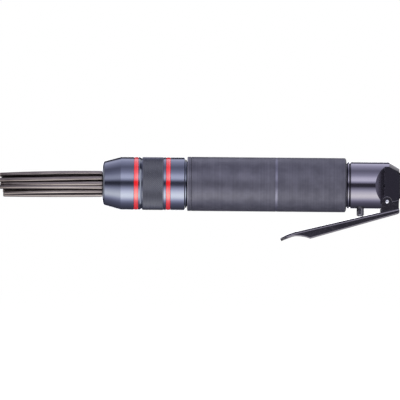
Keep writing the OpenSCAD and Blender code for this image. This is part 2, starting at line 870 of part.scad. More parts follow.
nose();
front_band();
rear_band();
return_spring();
needle_holder();
for (i = [0:needle_count - 1])
    needle(i);
anvil();
anvil_buffer();
anvil_bush();
barrel();
grip();
lock_ring();
cylinder_liner();  // cylinder
piston();
valve_front_plate();
valve_disc();
valve_rear_plate();
valve_dowels();
head();
head_seal();
inlet_bushing();
inlet_gasket();
inlet_screen();
throttle_bush();
throttle_seal();
plunger();
valve_seat();
poppet();
poppet_spring();
lever();
pivot_pin();
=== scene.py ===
import logging
import math
from collections.abc import Callable, Iterable, Sequence
from dataclasses import dataclass
from enum import Enum

import bmesh
import bpy
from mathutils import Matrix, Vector


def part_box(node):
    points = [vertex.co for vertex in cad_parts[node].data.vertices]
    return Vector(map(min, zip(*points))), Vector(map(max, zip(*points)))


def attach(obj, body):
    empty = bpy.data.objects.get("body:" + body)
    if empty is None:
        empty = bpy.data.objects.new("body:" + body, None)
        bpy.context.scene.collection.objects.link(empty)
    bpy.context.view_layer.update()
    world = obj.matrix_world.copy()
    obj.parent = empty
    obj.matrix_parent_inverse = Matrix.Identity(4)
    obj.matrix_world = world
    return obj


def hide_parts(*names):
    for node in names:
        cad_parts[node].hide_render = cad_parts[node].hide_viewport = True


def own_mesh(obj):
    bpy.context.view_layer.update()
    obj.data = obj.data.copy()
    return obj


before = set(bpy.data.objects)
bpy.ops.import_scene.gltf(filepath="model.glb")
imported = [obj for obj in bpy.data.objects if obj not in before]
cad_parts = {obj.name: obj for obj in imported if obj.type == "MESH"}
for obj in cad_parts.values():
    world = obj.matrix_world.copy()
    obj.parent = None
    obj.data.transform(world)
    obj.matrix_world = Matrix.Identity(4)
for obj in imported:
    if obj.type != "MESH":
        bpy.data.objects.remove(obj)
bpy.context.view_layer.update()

LOG = logging.getLogger("needle_scaler")
MM = 0.001
FULL_TURN = 2 * math.pi
ORIGIN = Vector((0, 0, 0))
# Places this close count as one, in millimetres
NEAR = 0.01
# The values that a noise pattern mostly keeps to
NOISE = (0.3, 0.7)

# Sizes that the head and the throttle share, in millimetres
HEAD_RADIUS = 17.0
THROTTLE_X = -37.3
PIVOT = (-18.0, -11.7)

Section = Sequence[tuple[float, float]]
Spot = tuple[float, float, float]
Piece = bpy.types.Object
Material = bpy.types.Material
Tree = bpy.types.NodeTree
Node = bpy.types.Node
Socket = bpy.types.NodeSocket
Test = Callable[[Vector], bool]


class Axis(Enum):
    """The axis that a piece is turned or extruded along."""

    X = (1, 0, 0)
    Y = (0, 1, 0)
    Z = (0, 0, 1)


class Cut(Enum):
    """How one solid is joined with another."""

    AWAY = "DIFFERENCE"
    ONTO = "UNION"
    WITHIN = "INTERSECT"


def deselect() -> None:
    """Leaves edit mode and deselects everything."""
    if bpy.context.object and bpy.context.object.mode != "OBJECT":
        bpy.ops.object.mode_set(mode="OBJECT")
    bpy.ops.object.select_all(action="DESELECT")


def activate(piece: Piece) -> None:
    """Makes one piece the only selected and the active one."""
    deselect()
    piece.select_set(True)
    bpy.context.view_layer.objects.active = piece


def open_piece(piece: Piece, whole: bool = False) -> None:
    """Opens a piece in edit mode with nothing selected, or the whole of it."""
    activate(piece)
    bpy.ops.object.mode_set(mode="EDIT")
    bpy.ops.mesh.select_all(action="SELECT" if whole else "DESELECT")


def close_piece() -> None:
    """Leaves edit mode."""
    bpy.ops.object.mode_set(mode="OBJECT")


def single_vertex(name: str, spot: Vector) -> Piece:
    """Starts a piece in edit mode from one vertex.

    Args:
        name: Name of the piece.
        spot: Place of the vertex, in metres.

    Returns:
        The new piece, open in edit mode with its vertex selected.
    """
    deselect()
    bpy.ops.mesh.primitive_plane_add(size=MM, enter_editmode=True)
    piece = bpy.context.object
    piece.name = name
    piece.data.name = name
    bpy.ops.mesh.select_mode(type="VERT")
    bpy.ops.mesh.select_all(action="SELECT")
    bpy.ops.mesh.merge(type="CENTER")
    bpy.ops.transform.translate(value=spot)
    return piece


def extrude_to(step: Vector) -> None:
    """Extrudes what is selected by one step."""
    bpy.ops.mesh.extrude_region_move(TRANSFORM_OT_translate={"value": step})


def draw_line(name: str, spots: Sequence[Vector], closed: bool) -> Piece:
    """Draws a line of edges by extruding a vertex from spot to spot.

    Args:
        name: Name of the piece.
        spots: The corners of the line, in metres.
        closed: Whether the last corner is joined to the first.

    Returns:
        The piece, open in edit mode with the whole line selected.
    """
    piece = single_vertex(name, spots[0])
    for here, there in zip(spots, spots[1:]):
        extrude_to(there - here)
    if closed:
        mesh = bmesh.from_edit_mesh(piece.data)
        for vert in mesh.verts:
            vert.select_set(len(vert.link_edges) == 1)
        mesh.select_flush_mode()
        bmesh.update_edit_mesh(piece.data)
        bpy.ops.mesh.edge_face_add()
    bpy.ops.mesh.select_all(action="SELECT")
    return piece


def pick_verts(piece: Piece, wanted: Test) -> None:
    """Selects the vertices of the open piece that pass a test on their place."""
    bpy.ops.mesh.select_mode(type="VERT")
    mesh = bmesh.from_edit_mesh(piece.data)
    for vert in mesh.verts:
        vert.select_set(wanted(vert.co))
    mesh.select_flush_mode()
    bmesh.update_edit_mesh(piece.data)


def pick_edges(piece: Piece, wanted: Callable[[Vector, Vector], bool], sharper: float = -1) -> None:
    """Selects edges of the open piece.

    Args:
        piece: The piece.
        wanted: Test on the two ends of an edge.
        sharper: Angle in degrees that the edge's two faces must turn by.
    """
    bpy.ops.mesh.select_mode(type="EDGE")
    mesh = bmesh.from_edit_mesh(piece.data)
    for edge in mesh.edges:
        sharp = edge.calc_face_angle(0.0) > math.radians(sharper)
        edge.select_set(sharp and wanted(edge.verts[0].co, edge.verts[1].co))
    bmesh.update_edit_mesh(piece.data)


def pick_faces(piece: Piece, wanted: Test) -> None:
    """Selects the faces of the open piece that pass a test on their middle."""
    bpy.ops.mesh.select_mode(type="FACE")
    mesh = bmesh.from_edit_mesh(piece.data)
    for face in mesh.faces:
        face.select_set(wanted(face.calc_center_median()))
    bmesh.update_edit_mesh(piece.data)


def paint_faces(piece: Piece, wanted: Test, index: int) -> None:
    """Puts the faces of the open piece that pass a test on their middle into a material slot."""
    pick_faces(piece, wanted)
    piece.active_material_index = index
    bpy.ops.object.material_slot_assign()


def lies_on(spot: Vector, places: Iterable[Vector]) -> bool:
    """Tells whether a point lies on one of several places."""
    return any((spot - place).length < NEAR * MM for place in places)


def move_vertex(piece: Piece, place: Vector, move: Vector) -> None:
    """Moves the vertex of the open piece that lies on a place."""
    pick_verts(piece, lambda spot: lies_on(spot, [place]))
    bpy.ops.transform.translate(value=move)


def close_seams() -> None:
    """Merges doubled vertices of the open piece and points its faces outwards."""
    bpy.ops.mesh.select_mode(type="VERT")
    bpy.ops.mesh.select_all(action="SELECT")
    bpy.ops.mesh.remove_doubles(threshold=0.002 * MM)
    bpy.ops.mesh.normals_make_consistent(inside=False)
    bpy.ops.mesh.select_all(action="DESELECT")


def on_axis(axis: Axis, along: float, radius: float, foot: Vector) -> Vector:
    """Gives the place of a section's corner.

    Args:
        axis: Axis that the section is turned about.
        along: Distance along the axis, in millimetres.
        radius: Distance from the axis, in millimetres.
        foot: A point on the axis, in metres.

    Returns:
        The corner in metres, in the plane where the turn starts.
    """
    out = {Axis.X: Vector((0, 0, 1)), Axis.Y: Vector((1, 0, 0)), Axis.Z: Vector((1, 0, 0))}[axis]
    return foot + Vector(axis.value) * along * MM + out * radius * MM


def foot_at(x: float, z: float = 0) -> Vector:
    """Gives the foot of an axis in the tool's middle plane, in metres, from millimetres."""
    return Vector((x, 0, z)) * MM


def rod(low: float, high: float, radius: float) -> Section:
    """Gives the half section of a plain rod between two ends."""
    return [(low, 0), (low, radius), (high, radius), (high, 0)]


def turned(
    name: str, section: Section, steps: int = 192, axis: Axis = Axis.X, foot: Vector = ORIGIN
) -> Piece:
    """Turns a closed half section about an axis, as on a lathe.

    Args:
        name: Name of the piece.
        section: Corners as (distance along the axis, radius), in millimetres.
        steps: Steps of the whole turn.
        axis: Axis of the turn.
        foot: A point on that axis, in metres.

    Returns:
        The closed piece.
    """
    spots = [on_axis(axis, along, radius, foot) for along, radius in section]
    piece = draw_line(name, spots, closed=True)
    bpy.ops.mesh.spin(steps=steps, angle=FULL_TURN, center=foot, axis=axis.value)
    close_seams()
    close_piece()
    return piece


def prism(name: str, outline: Sequence[Vector], depth: Vector) -> Piece:
    """Extrudes a flat outline into a closed prism.

    Args:
        name: Name of the piece.
        outline: Corners of the outline, in metres.
        depth: The extrusion, in metres.

    Returns:
        The closed piece.
    """
    piece = draw_line(name, outline, closed=True)
    bpy.ops.mesh.edge_face_add()
    extrude_to(depth)
    close_seams()
    close_piece()
    return piece


def apply_modifier(piece: Piece, kind: str, **settings: object) -> None:
    """Adds a modifier with its settings and applies it."""
    activate(piece)
    modifier = piece.modifiers.new(kind.lower(), kind)
    for key, value in settings.items():
        setattr(modifier, key, value)
    bpy.ops.object.modifier_apply(modifier=modifier.name)


def carve(piece: Piece, tool: Piece, cut: Cut = Cut.AWAY) -> None:
    """Cuts, joins or keeps a piece by a second solid, which is used up."""
    apply_modifier(piece, "BOOLEAN", object=tool, operation=cut.value, solver="EXACT")
    bpy.data.objects.remove(tool, do_unlink=True)


def ease_edges(piece: Piece, width: float, angle: float = 12, segments: int = 3) -> None:
    """Rounds the edges of a piece that are sharper than an angle.

    Args:
        piece: The piece.
        width: Width of the rounding, in millimetres.
        angle: Least angle between two faces, in degrees.
        segments: Faces across each rounding.
    """
    apply_modifier(
        piece,
        "BEVEL",
        width=width * MM,
        segments=segments,
        limit_method="ANGLE",
        angle_limit=math.radians(angle),
        use_clamp_overlap=True,
    )


def smooth(piece: Piece, angle: float = 32, weighted: bool = True) -> None:
    """Shades a piece smooth up to an angle in degrees, with large faces leading the normals."""
    activate(piece)
    bpy.ops.object.shade_smooth_by_angle(angle=math.radians(angle))
    if weighted:
        apply_modifier(piece, "WEIGHTED_NORMAL", keep_sharp=True, weight=80)


def wound(
    name: str, section: Section, pitch: float, turns: int, axis: Axis = Axis.X, steps: int = 32
) -> Piece:
    """Winds a closed section into a coil with closed ends.

    Args:
        name: Name of the piece.
        section: Corners as (distance along the axis, radius), in millimetres.
        pitch: Rise of one turn, in millimetres.
        turns: Number of turns.
        axis: Axis of the coil, through the origin.
        steps: Steps of one turn.

    Returns:
        The closed coil.
    """
    piece = draw_line(name, [on_axis(axis, along, radius, ORIGIN) for along, radius in section], closed=True)
    close_piece()
    apply_modifier(
        piece,
        "SCREW",
        axis=axis.name,
        screw_offset=pitch * MM,
        iterations=turns,
        steps=steps,
        render_steps=steps,
        use_merge_vertices=False,
    )
    open_piece(piece, whole=True)
    bpy.ops.mesh.fill_holes(sides=0)
    close_seams()
    close_piece()
    return piece


def arc(middle: tuple[float, float], radius: float, start: float, end: float, count: int) -> Section:
    """Gives points on an arc.

    Args:
        middle: Middle of the arc.
        radius: Radius of the arc.
        start: First angle, in degrees from the first coordinate.
        end: Last angle, in degrees.
        count: Number of steps.

    Returns:
        The points from the first angle to the last.
    """
    angles = [math.radians(start + (end - start) * step / count) for step in range(count + 1)]
    return [(middle[0] + radius * math.cos(a), middle[1] + radius * math.sin(a)) for a in angles]


def linear(code: str) -> tuple[float, float, float, float]:
    """Turns an sRGB hex colour to linear values."""
    parts = [int(code[i:i + 2], 16) / 255 for i in (1, 3, 5)]
    red, green, blue = [p / 12.92 if p <= 0.04045 else ((p + 0.055) / 1.055) ** 2.4 for p in parts]
    return red, green, blue, 1.0


def add_node(tree: Tree, kind: str, inputs: dict | Sequence = (), **settings: object) -> Node:
    """Adds a node with its settings, its values and its links.

    Args:
        tree: Node tree of a material or the world.
        kind: Type name of the node, without the prefix that all of them share.
        inputs: What goes into the inputs, by name or number or else in their order. It is a value,
            a socket to link, or a node, whose first output in use is linked.
        **settings: Attributes of the node.

    Returns:
        The new node.
    """
    node = tree.nodes.new("ShaderNode" + kind)
    for key, value in settings.items():
        setattr(node, key, value)
    pairs = inputs.items() if isinstance(inputs, dict) else enumerate(inputs)
    for key, value in pairs:
        if isinstance(value, Node):
            value = next(socket for socket in value.outputs if socket.enabled)
        if isinstance(value, Socket):
            tree.links.new(value, node.inputs[key])
        else:
            node.inputs[key].default_value = value
    return node


def new_material(name: str) -> tuple[Material, Tree]:
    """Makes an empty node material and gives it with its tree."""
    material = bpy.data.materials.new(name)
    material.use_nodes = True
    material.node_tree.nodes.clear()
    return material, material.node_tree


@dataclass(frozen=True)
class Coating:
    """A finish with two colours that blend into each other. Sizes of its patterns in millimetres."""

    name: str
    colour: str
    other: str

    def blend(self, tree: Tree, share: Node) -> Node:
        """Mixes the two colours by a share."""
        mix = {"Factor": share, 6: linear(self.colour), 7: linear(self.other)}
        return add_node(tree, "Mix", mix, data_type="RGBA")

    def patterns(self, tree: Tree, place: Socket) -> dict:
        """Builds the patterns on the object's coordinates and gives the shader's inputs."""
        raise NotImplementedError

    def material(self) -> Material:
        """Builds the material."""
        material, tree = new_material(self.name)
        place = add_node(tree, "TexCoord").outputs["Object"]
        shader = add_node(tree, "BsdfPrincipled", self.patterns(tree, place))
        add_node(tree, "OutputMaterial", {"Surface": shader})
        return material


@dataclass(frozen=True)
class MachinedMetal(Coating):
    """Machined metal: fine rings from the lathe, a slow drift of colour and a few dull spots."""

    roughness: float
    dull: float
    ring_mm: float = 0.35
    drift_mm: float = 14
    ring_depth: float = 0.02
    ring_bump: float = 0.5
    ring_range: tuple[float, float] = (0.3, 0.75)
    axis: Axis = Axis.X

    def patterns(self, tree: Tree, place: Socket) -> dict:
        """Builds the lathe's rings, which change along the turning axis alone, and the drift."""
        stretch = Vector(self.axis.value) / (self.ring_mm * MM)
        along = add_node(tree, "Mapping", {"Vector": place, "Scale": stretch})
        rings = add_node(tree, "TexNoise", {"Vector": along, "Scale": 1, "Detail": 3})
        cloud = add_node(tree, "TexNoise", {"Vector": place, "Scale": 1 / (self.drift_mm * MM), "Detail": 4})
        rough = add_node(tree, "MapRange", [rings, *self.ring_range, self.roughness, self.dull])
        depth = self.ring_depth * MM
        bump = add_node(tree, "Bump", {"Height": rings, "Strength": self.ring_bump, "Distance": depth})
        return {"Base Color": self.blend(tree, cloud), "Metallic": 1.0, "Roughness": rough, "Normal": bump}


@dataclass(frozen=True)
class DrawnWire(Coating):
    """Hard drawn steel wire: long draw marks, brown heat haze, and dark soot towards the working tips."""

    soot: str
    tip_x: float
    soot_reach: float
    streak_mm: float = 0.5
    streak_len_mm: float = 22
    patch_share: float = 0.22
    haze_range: tuple[float, float] = (0.42, 0.68)
    haze_share: float = 0.85
    soot_share: float = 1.3
    gloss: tuple[float, float] = (0.2, 0.42)
    mark_depth: float = 0.05
    mark_bump: float = 0.6

    def patterns(self, tree: Tree, place: Socket) -> dict:
        """Builds the draw marks, the haze and the soot."""
        stretch = Vector((1 / self.streak_len_mm, 1 / self.streak_mm, 1 / self.streak_mm)) / MM
        along = add_node(tree, "Mapping", {"Vector": place, "Scale": stretch})
        marks = add_node(tree, "TexNoise", {"Vector": along, "Scale": 1, "Detail": 4})
        patches = add_node(tree, "TexNoise", {"Vector": along, "Scale": self.patch_share, "Detail": 3})
        haze = add_node(tree, "MapRange", [patches, *self.haze_range, 0.0, self.haze_share])
        split = add_node(tree, "SeparateXYZ", {"Vector": place})
        start, end = self.tip_x * MM, (self.tip_x + self.soot_reach) * MM
        near_tip = add_node(tree, "MapRange", [split, start, end, self.soot_share, 0.0])
        sooty = add_node(tree, "Math", [near_tip, marks], operation="MULTIPLY")
        mix = {"Factor": sooty, 6: self.blend(tree, haze), 7: linear(self.soot)}
        tint = add_node(tree, "Mix", mix, data_type="RGBA")
        rough = add_node(tree, "MapRange", [marks, *NOISE, *self.gloss])
        depth = self.mark_depth * MM
        bump = add_node(tree, "Bump", {"Height": marks, "Strength": self.mark_bump, "Distance": depth})
        return {"Base Color": tint, "Metallic": 1.0, "Roughness": rough, "Normal": bump}


@dataclass(frozen=True)
class TexturedCoat(Coating):
    """Hard anodised alloy: matte, with a fine grit and faint turned rings, lighter where worn."""

    roughness: float
    grit_mm: float = 0.55
    grit_depth: float = 0.06
    grit_bump: float = 0.55
    ring_mm: float = 1.6
    ring_share: float = 1.2
    wear_mm: float = 9
    wear_rings: float = 0.8
    worn_range: tuple[float, float] = (0.75, 1.1)
    worn_share: float = 0.8
    rubbed: tuple[float, float] = (-140, -70)
    rubbed_gloss: float = 0.14
    gloss: tuple[float, float] = (-0.06, 0.08)
    metal_share: float = 0.45

    def patterns(self, tree: Tree, place: Socket) -> dict:
        """Builds the grit, the rings and the wear."""
        # The real grit is finer; it is drawn this coarse so that it shows
        grit = add_node(tree, "TexNoise", {"Vector": place, "Scale": 1 / (self.grit_mm * MM), "Detail": 2})
        stretch = Vector((1 / (self.ring_mm * MM), 0, 0))
        along = add_node(tree, "Mapping", {"Vector": place, "Scale": stretch})
        rings = add_node(tree, "TexNoise", {"Vector": along, "Scale": 1, "Detail": 2})
        wear = add_node(tree, "TexNoise", {"Vector": place, "Scale": 1 / (self.wear_mm * MM), "Detail": 5})
        height = add_node(tree, "Math", [rings, self.ring_share, grit], operation="MULTIPLY_ADD")
        marks = add_node(tree, "Math", [rings, self.wear_rings, wear], operation="MULTIPLY_ADD")
        worn = add_node(tree, "MapRange", [marks, *self.worn_range, 0.0, self.worn_share])
        # The hand has rubbed the front smoother than the rear
        split = add_node(tree, "SeparateXYZ", {"Vector": place})
        start, end = self.rubbed
        rubbed = add_node(tree, "MapRange", [split, start * MM, end * MM, 0.0, self.rubbed_gloss])
        gloss = [self.roughness + change for change in self.gloss]
        fine = add_node(tree, "MapRange", [grit, *NOISE, *gloss])
        rough = add_node(tree, "Math", [fine, rubbed], operation="ADD")
        depth = self.grit_depth * MM
        bump = add_node(tree, "Bump", {"Height": height, "Strength": self.grit_bump, "Distance": depth})
        return {
            "Base Color": self.blend(tree, worn),
            "Metallic": self.metal_share,
            "Roughness": rough,
            "Normal": bump,
        }


@dataclass(frozen=True)
class Enamel(Coating):
    """Baked enamel: one strong colour under a clear gloss, with a little unevenness in the film."""

    film_mm: float = 3
    gloss: tuple[float, float] = (0.18, 0.28)
    coat_roughness: float = 0.06
    coat_ior: float = 1.9

    def patterns(self, tree: Tree, place: Socket) -> dict:
        """Builds the uneven film and its gloss."""
        film = add_node(tree, "TexNoise", {"Vector": place, "Scale": 1 / (self.film_mm * MM), "Detail": 3})
        return {
            "Base Color": self.blend(tree, film),
            "Roughness": add_node(tree, "MapRange", [film, *NOISE, *self.gloss]),
            "Specular IOR Level": 0.0,
            "Coat Weight": 1.0,
            "Coat Roughness": self.coat_roughness,
            "Coat IOR": self.coat_ior,
        }


@dataclass(frozen=True)
class BlackOxide(Coating):
    """Pressed sheet steel with a glossy black oxide: dark flats, bright bends and rubbed marks."""

    roughness: float
    gloss: tuple[float, float] = (-0.05, 0.1)
    mark_mm: float = 1.6
    mark_depth: float = 0.03
    mark_bump: float = 0.15
    cloud_mm: float = 11
    rubbed_range: tuple[float, float] = (0.26, 0.42)
    rubbed_share: float = 0.7

    def patterns(self, tree: Tree, place: Socket) -> dict:
        """Builds the rubbed marks, which gather in clouds."""
        scale = 1 / (self.mark_mm * MM)
        marks = add_node(tree, "TexNoise", {"Vector": place, "Scale": scale, "Detail": 6, "Roughness": 0.7})
        clouds = add_node(tree, "TexNoise", {"Vector": place, "Scale": 1 / (self.cloud_mm * MM), "Detail": 3})
        both = add_node(tree, "Math", [marks, clouds], operation="MULTIPLY")
        rubbed = add_node(tree, "MapRange", [both, *self.rubbed_range, 0.0, self.rubbed_share])
        gloss = [self.roughness + change for change in self.gloss]
        rough = add_node(tree, "MapRange", [marks, *NOISE, *gloss])
        depth = self.mark_depth * MM
        bump = add_node(tree, "Bump", {"Height": marks, "Strength": self.mark_bump, "Distance": depth})
        return {"Base Color": self.blend(tree, rubbed), "Metallic": 1.0, "Roughness": rough, "Normal": bump}


@dataclass(frozen=True)
class Elastomer(Coating):
    """Moulded nitrile rubber or fibre: dull, with a fine grain and a bloom that greys it."""

    roughness: float = 0.75
    grain_mm: float = 0.3
    grain_depth: float = 0.05
    grain_bump: float = 0.4

    def patterns(self, tree: Tree, place: Socket) -> dict:
        """Builds the grain and the bloom."""
        grain = add_node(tree, "TexNoise", {"Vector": place, "Scale": 1 / (self.grain_mm * MM), "Detail": 4})
        depth = self.grain_depth * MM
        bump = add_node(tree, "Bump", {"Height": grain, "Strength": self.grain_bump, "Distance": depth})
        return {"Base Color": self.blend(tree, grain), "Roughness": self.roughness, "Normal": bump}


class Finish(Enum):
    """The finishes of the tool, most of them named as the material slot that they are for."""

    BLUED = "blued_steel"
    KNURL = "knurled_steel"
    RED = "red_enamel"
    NEEDLE = "needle_steel"
    GRIP = "grip_coat"
    LINE = "bare_line"
    # The grip's front edge: some wear plus a painted highlight of its rounding
    EDGE = "worn_edge"
    HEAD = "head_metal"
    LEVER = "lever_black"
    BRIGHT = "bright_steel"
    PLUNGER = "plunger_steel"
    BUSHING = "bushing_steel"
    INNER = "inner_steel"
    SPRING = "spring_steel"
    BRONZE = "bronze"
    SEAL = "seal_rubber"


class Paintshop:
    """Holds the material of each finish and puts it on pieces."""

    def __init__(self) -> None:
        """Mixes every finish once."""
        finishes = {
            # Polished gunmetal: near black where it faces the dark, silver blue where it faces a lamp
            Finish.BLUED: MachinedMetal("polished_blued_steel", "#6e717d", "#676b79", 0.12, 0.18),
            # Knurled and left matte, so the small points only glint
            Finish.KNURL: MachinedMetal("knurled_matte_steel", "#5a5b64", "#53545d", 0.24, 0.34),
            Finish.RED: Enamel("red_baked_enamel", "#e2090c", "#cf0609"),
            # Warm brown grey wire with darker tips
            Finish.NEEDLE: DrawnWire("drawn_needle_wire", "#7f7874", "#6a6260", "#342c29", -301, 40),
            Finish.GRIP: TexturedCoat("anodised_grip_alloy", "#3f3e4a", "#51505c", 0.4),
            # The grip's ring line is left bare and a little brighter
            Finish.LINE: MachinedMetal("bare_grip_alloy", "#6a6976", "#62616d", 0.4, 0.48),
            # The grip's front edge is lighter: partly wear, partly a painted highlight of its rounding
            Finish.EDGE: MachinedMetal("worn_grip_alloy", "#8c8b96", "#7d7c88", 0.35, 0.45),
            # Polished alloy with a violet cast
            Finish.HEAD: MachinedMetal("polished_violet_alloy", "#68666e", "#625f68", 0.08, 0.13),
            Finish.LEVER: BlackOxide("black_oxide_sheet", "#5c595e", "#676468", 0.14),
            Finish.BRIGHT: MachinedMetal("ground_bright_steel", "#b9bac0", "#a6a7ae", 0.2, 0.3, axis=Axis.Z),
            # Oiled rod, darker than the pin
            Finish.PLUNGER: MachinedMetal(
                "oiled_plunger_steel", "#5f5e65", "#55545b", 0.22, 0.32, axis=Axis.Z
            ),
            # Oiled dark steel
            Finish.BUSHING: MachinedMetal("oiled_dark_steel", "#4a4950", "#38373d", 0.3, 0.42),
            Finish.INNER: MachinedMetal("turned_inner_steel", "#8f9298", "#7c7f86", 0.3, 0.42),
            Finish.SPRING: DrawnWire("hard_drawn_spring_wire", "#8b8e94", "#6f6a66", "#2c2a29", -225, 12),
            Finish.BRONZE: MachinedMetal("turned_bronze", "#b58a4c", "#946c38", 0.3, 0.45),
            Finish.SEAL: Elastomer("nitrile_rubber", "#1b1b1c", "#2c2c2e"),
        }
        self.materials = {kind: finish.material() for kind, finish in finishes.items()}

    def coat(self, piece: Piece, *kinds: Finish) -> None:
        """Puts finishes on a piece in place of its own, one for each of its material slots."""
        piece.data.materials.clear()
        for kind in kinds:
            piece.data.materials.append(self.materials[kind])


@dataclass
class SubAssembly:
    """A group of pieces that share one paintshop."""

    shop: Paintshop

    def fit(
        self,
        piece: Piece,
        body: str,
        slot: Finish,
        nodes: Iterable[str] = (),
        finishes: Sequence[Finish] = (),
    ) -> Piece:
        """Finishes a piece and sets it on the frame.

        Args:
            piece: The modelled piece.
            body: Body that it moves with.
            slot: Its finish, named as its material slot.
            nodes: CAD nodes that it stands for.
            finishes: Finishes that it has instead, where they differ from the slot's.

        Returns:
            The piece.
        """
        self.shop.coat(piece, *(finishes or [slot]))
        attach(piece, body)
        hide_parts(*nodes)
        LOG.info("%s rides on %s, %d faces", piece.name, body, len(piece.data.polygons))
        return piece


@dataclass
class Nose(SubAssembly):
    """The polished nose tube with its knurled band, and the two red bands in it. Sizes in millimetres."""

    front_x: float = -225.3
    length: float = 60.0
    radius: float = 19.25
    face_radius: float = 11.1
    face_lead: float = 0.6
    dome_length: float = 2.4
    dome_height: float = 5.0
    taper_end: float = 13.2
    mouth_radius: float = 10.234
    mouth_chamfer: float = 0.8
    front_wall: float = 4.5
    bore_radius: float = 14.0
    socket_radius: float = 16.05
    socket_depth: float = 14.35
    band_middles: tuple[float, float] = (24.4, 47.8)
    band_width: float = 3.3
    band_depth: float = 1.5
    band_crown: float = 0.06
    band_edge: float = 0.12
    band_slip: float = 0.05
    band_ease: float = 0.2
    knurl_start: float = 28.8
    knurl_length: float = 15.5
    knurl_floor: float = 19.0
    knurl_height: float = 0.34
    knurl_rows: int = 20
    knurl_groove: float = 18.4
    knurl_lead: float = 0.3
    knurl_front_bevel: float = 1.5
    knurl_rear_bevel: float = 0.15
    rear_edge: float = 0.55
    tube_ease: float = 0.18
    steps: int = 160

    def groove(self, middle: float) -> Section:
        """Gives the section of a band's groove."""
        start, end = middle - self.band_width / 2, middle + self.band_width / 2
        floor = self.radius - self.band_depth
        return [(start, self.radius), (start, floor), (end, floor), (end, self.radius)]

    def section(self) -> Section:
        """Gives the nose's half section, measured from its front."""
        dome = [
            (self.dome_length * (1 + along) - self.face_lead, self.face_radius + self.dome_height * up)
            for along, up in arc((0, 0), 1, 180, 96, 14)
        ]
        lead = self.knurl_lead
        knurl_end = self.knurl_start + self.knurl_length
        row = self.knurl_length / self.knurl_rows
        outside = [
            (-self.face_lead, self.mouth_radius + self.mouth_chamfer),
            *dome,
            (self.taper_end, self.radius),
            *self.groove(self.band_middles[0]),
            (self.knurl_start - lead - self.knurl_front_bevel, self.radius),
            (self.knurl_start - lead, self.knurl_groove),
            *[(self.knurl_start + row * i, self.knurl_floor) for i in range(self.knurl_rows + 1)],
            (knurl_end + self.knurl_rear_bevel, self.radius),
            *self.groove(self.band_middles[1]),
            (self.length - self.rear_edge, self.radius),
            (self.length, self.radius - self.rear_edge),
        ]
        inside = [
            (self.length, self.socket_radius),
            (self.length - self.socket_depth, self.socket_radius),
            (self.length - self.socket_depth, self.bore_radius),
            (self.front_wall, self.bore_radius),
            (self.front_wall, self.mouth_radius),
            (self.mouth_chamfer - self.face_lead, self.mouth_radius),
        ]
        return [(self.front_x + along, radius) for along, radius in outside + inside]

    def in_knurl(self, spot: Vector) -> bool:
        """Tells whether a point lies on the knurled band."""
        along = spot.x / MM - self.front_x - self.knurl_start
        return -NEAR < along < self.knurl_length + NEAR and spot.yz.length > self.knurl_groove * MM

    def is_point(self, spot: Vector) -> bool:
        """Tells whether a point of the knurled band is the tip of one of its small pyramids."""
        if not self.in_knurl(spot):
            return False
        row = round((spot.x / MM - self.front_x - self.knurl_start) / self.knurl_length * self.knurl_rows)
        step = round(math.atan2(spot.z, spot.y) / FULL_TURN * self.steps)
        return 0 < row < self.knurl_rows and (row + step) % 2 == 0

    def cut_knurl(self, nose: Piece) -> None:
        """Splits the knurled band along its grooves and raises the pyramids between them."""
        open_piece(nose)
        pick_verts(nose, lambda spot: self.in_knurl(spot) and not self.is_point(spot))
        bpy.ops.mesh.vert_connect()
        pick_verts(nose, self.is_point)
        bpy.ops.transform.shrink_fatten(value=self.knurl_height * MM)
        paint_faces(nose, self.in_knurl, 1)
        close_piece()

    def build_tube(self) -> Piece:
        """Turns the nose, eases its edges and cuts the knurl."""
        nose = turned("nose_tube", self.section(), self.steps)
        ease_edges(nose, self.tube_ease)
        self.fit(nose, "housing", Finish.BLUED, ["nose"], [Finish.BLUED, Finish.KNURL])
        self.cut_knurl(nose)
        smooth(nose)
        return nose

    def build_band(self, name: str, node: str, middle: float) -> Piece:
        """Turns one red band with a slight crown.

        Args:
            name: Name of the piece.
            node: CAD node that it stands for.
            middle: Distance of its middle behind the nose's front.

        Returns:
            The piece.
        """
        half = self.band_width / 2 - self.band_slip
        low = self.radius - self.band_edge
        rise = self.band_crown + self.band_edge
        start = self.front_x + middle
        shares = [step / 4 for step in range(-4, 5)]
        crown = [(start + half * share, low + rise * (1 - share * share)) for share in shares]
        floor = self.radius - self.band_depth + self.band_slip
        band = turned(name, [(start - half, floor), *crown, (start + half, floor)], self.steps)
        ease_edges(band, self.band_ease, angle=40)
        smooth(band)
        return self.fit(band, "housing", Finish.RED, [node])

    def build(self) -> None:
        """Builds the nose and its bands."""
        self.build_tube()
        self.build_band("front_red_band", "front_band", self.band_middles[0])
        self.build_band("rear_red_band", "rear_band", self.band_middles[1])


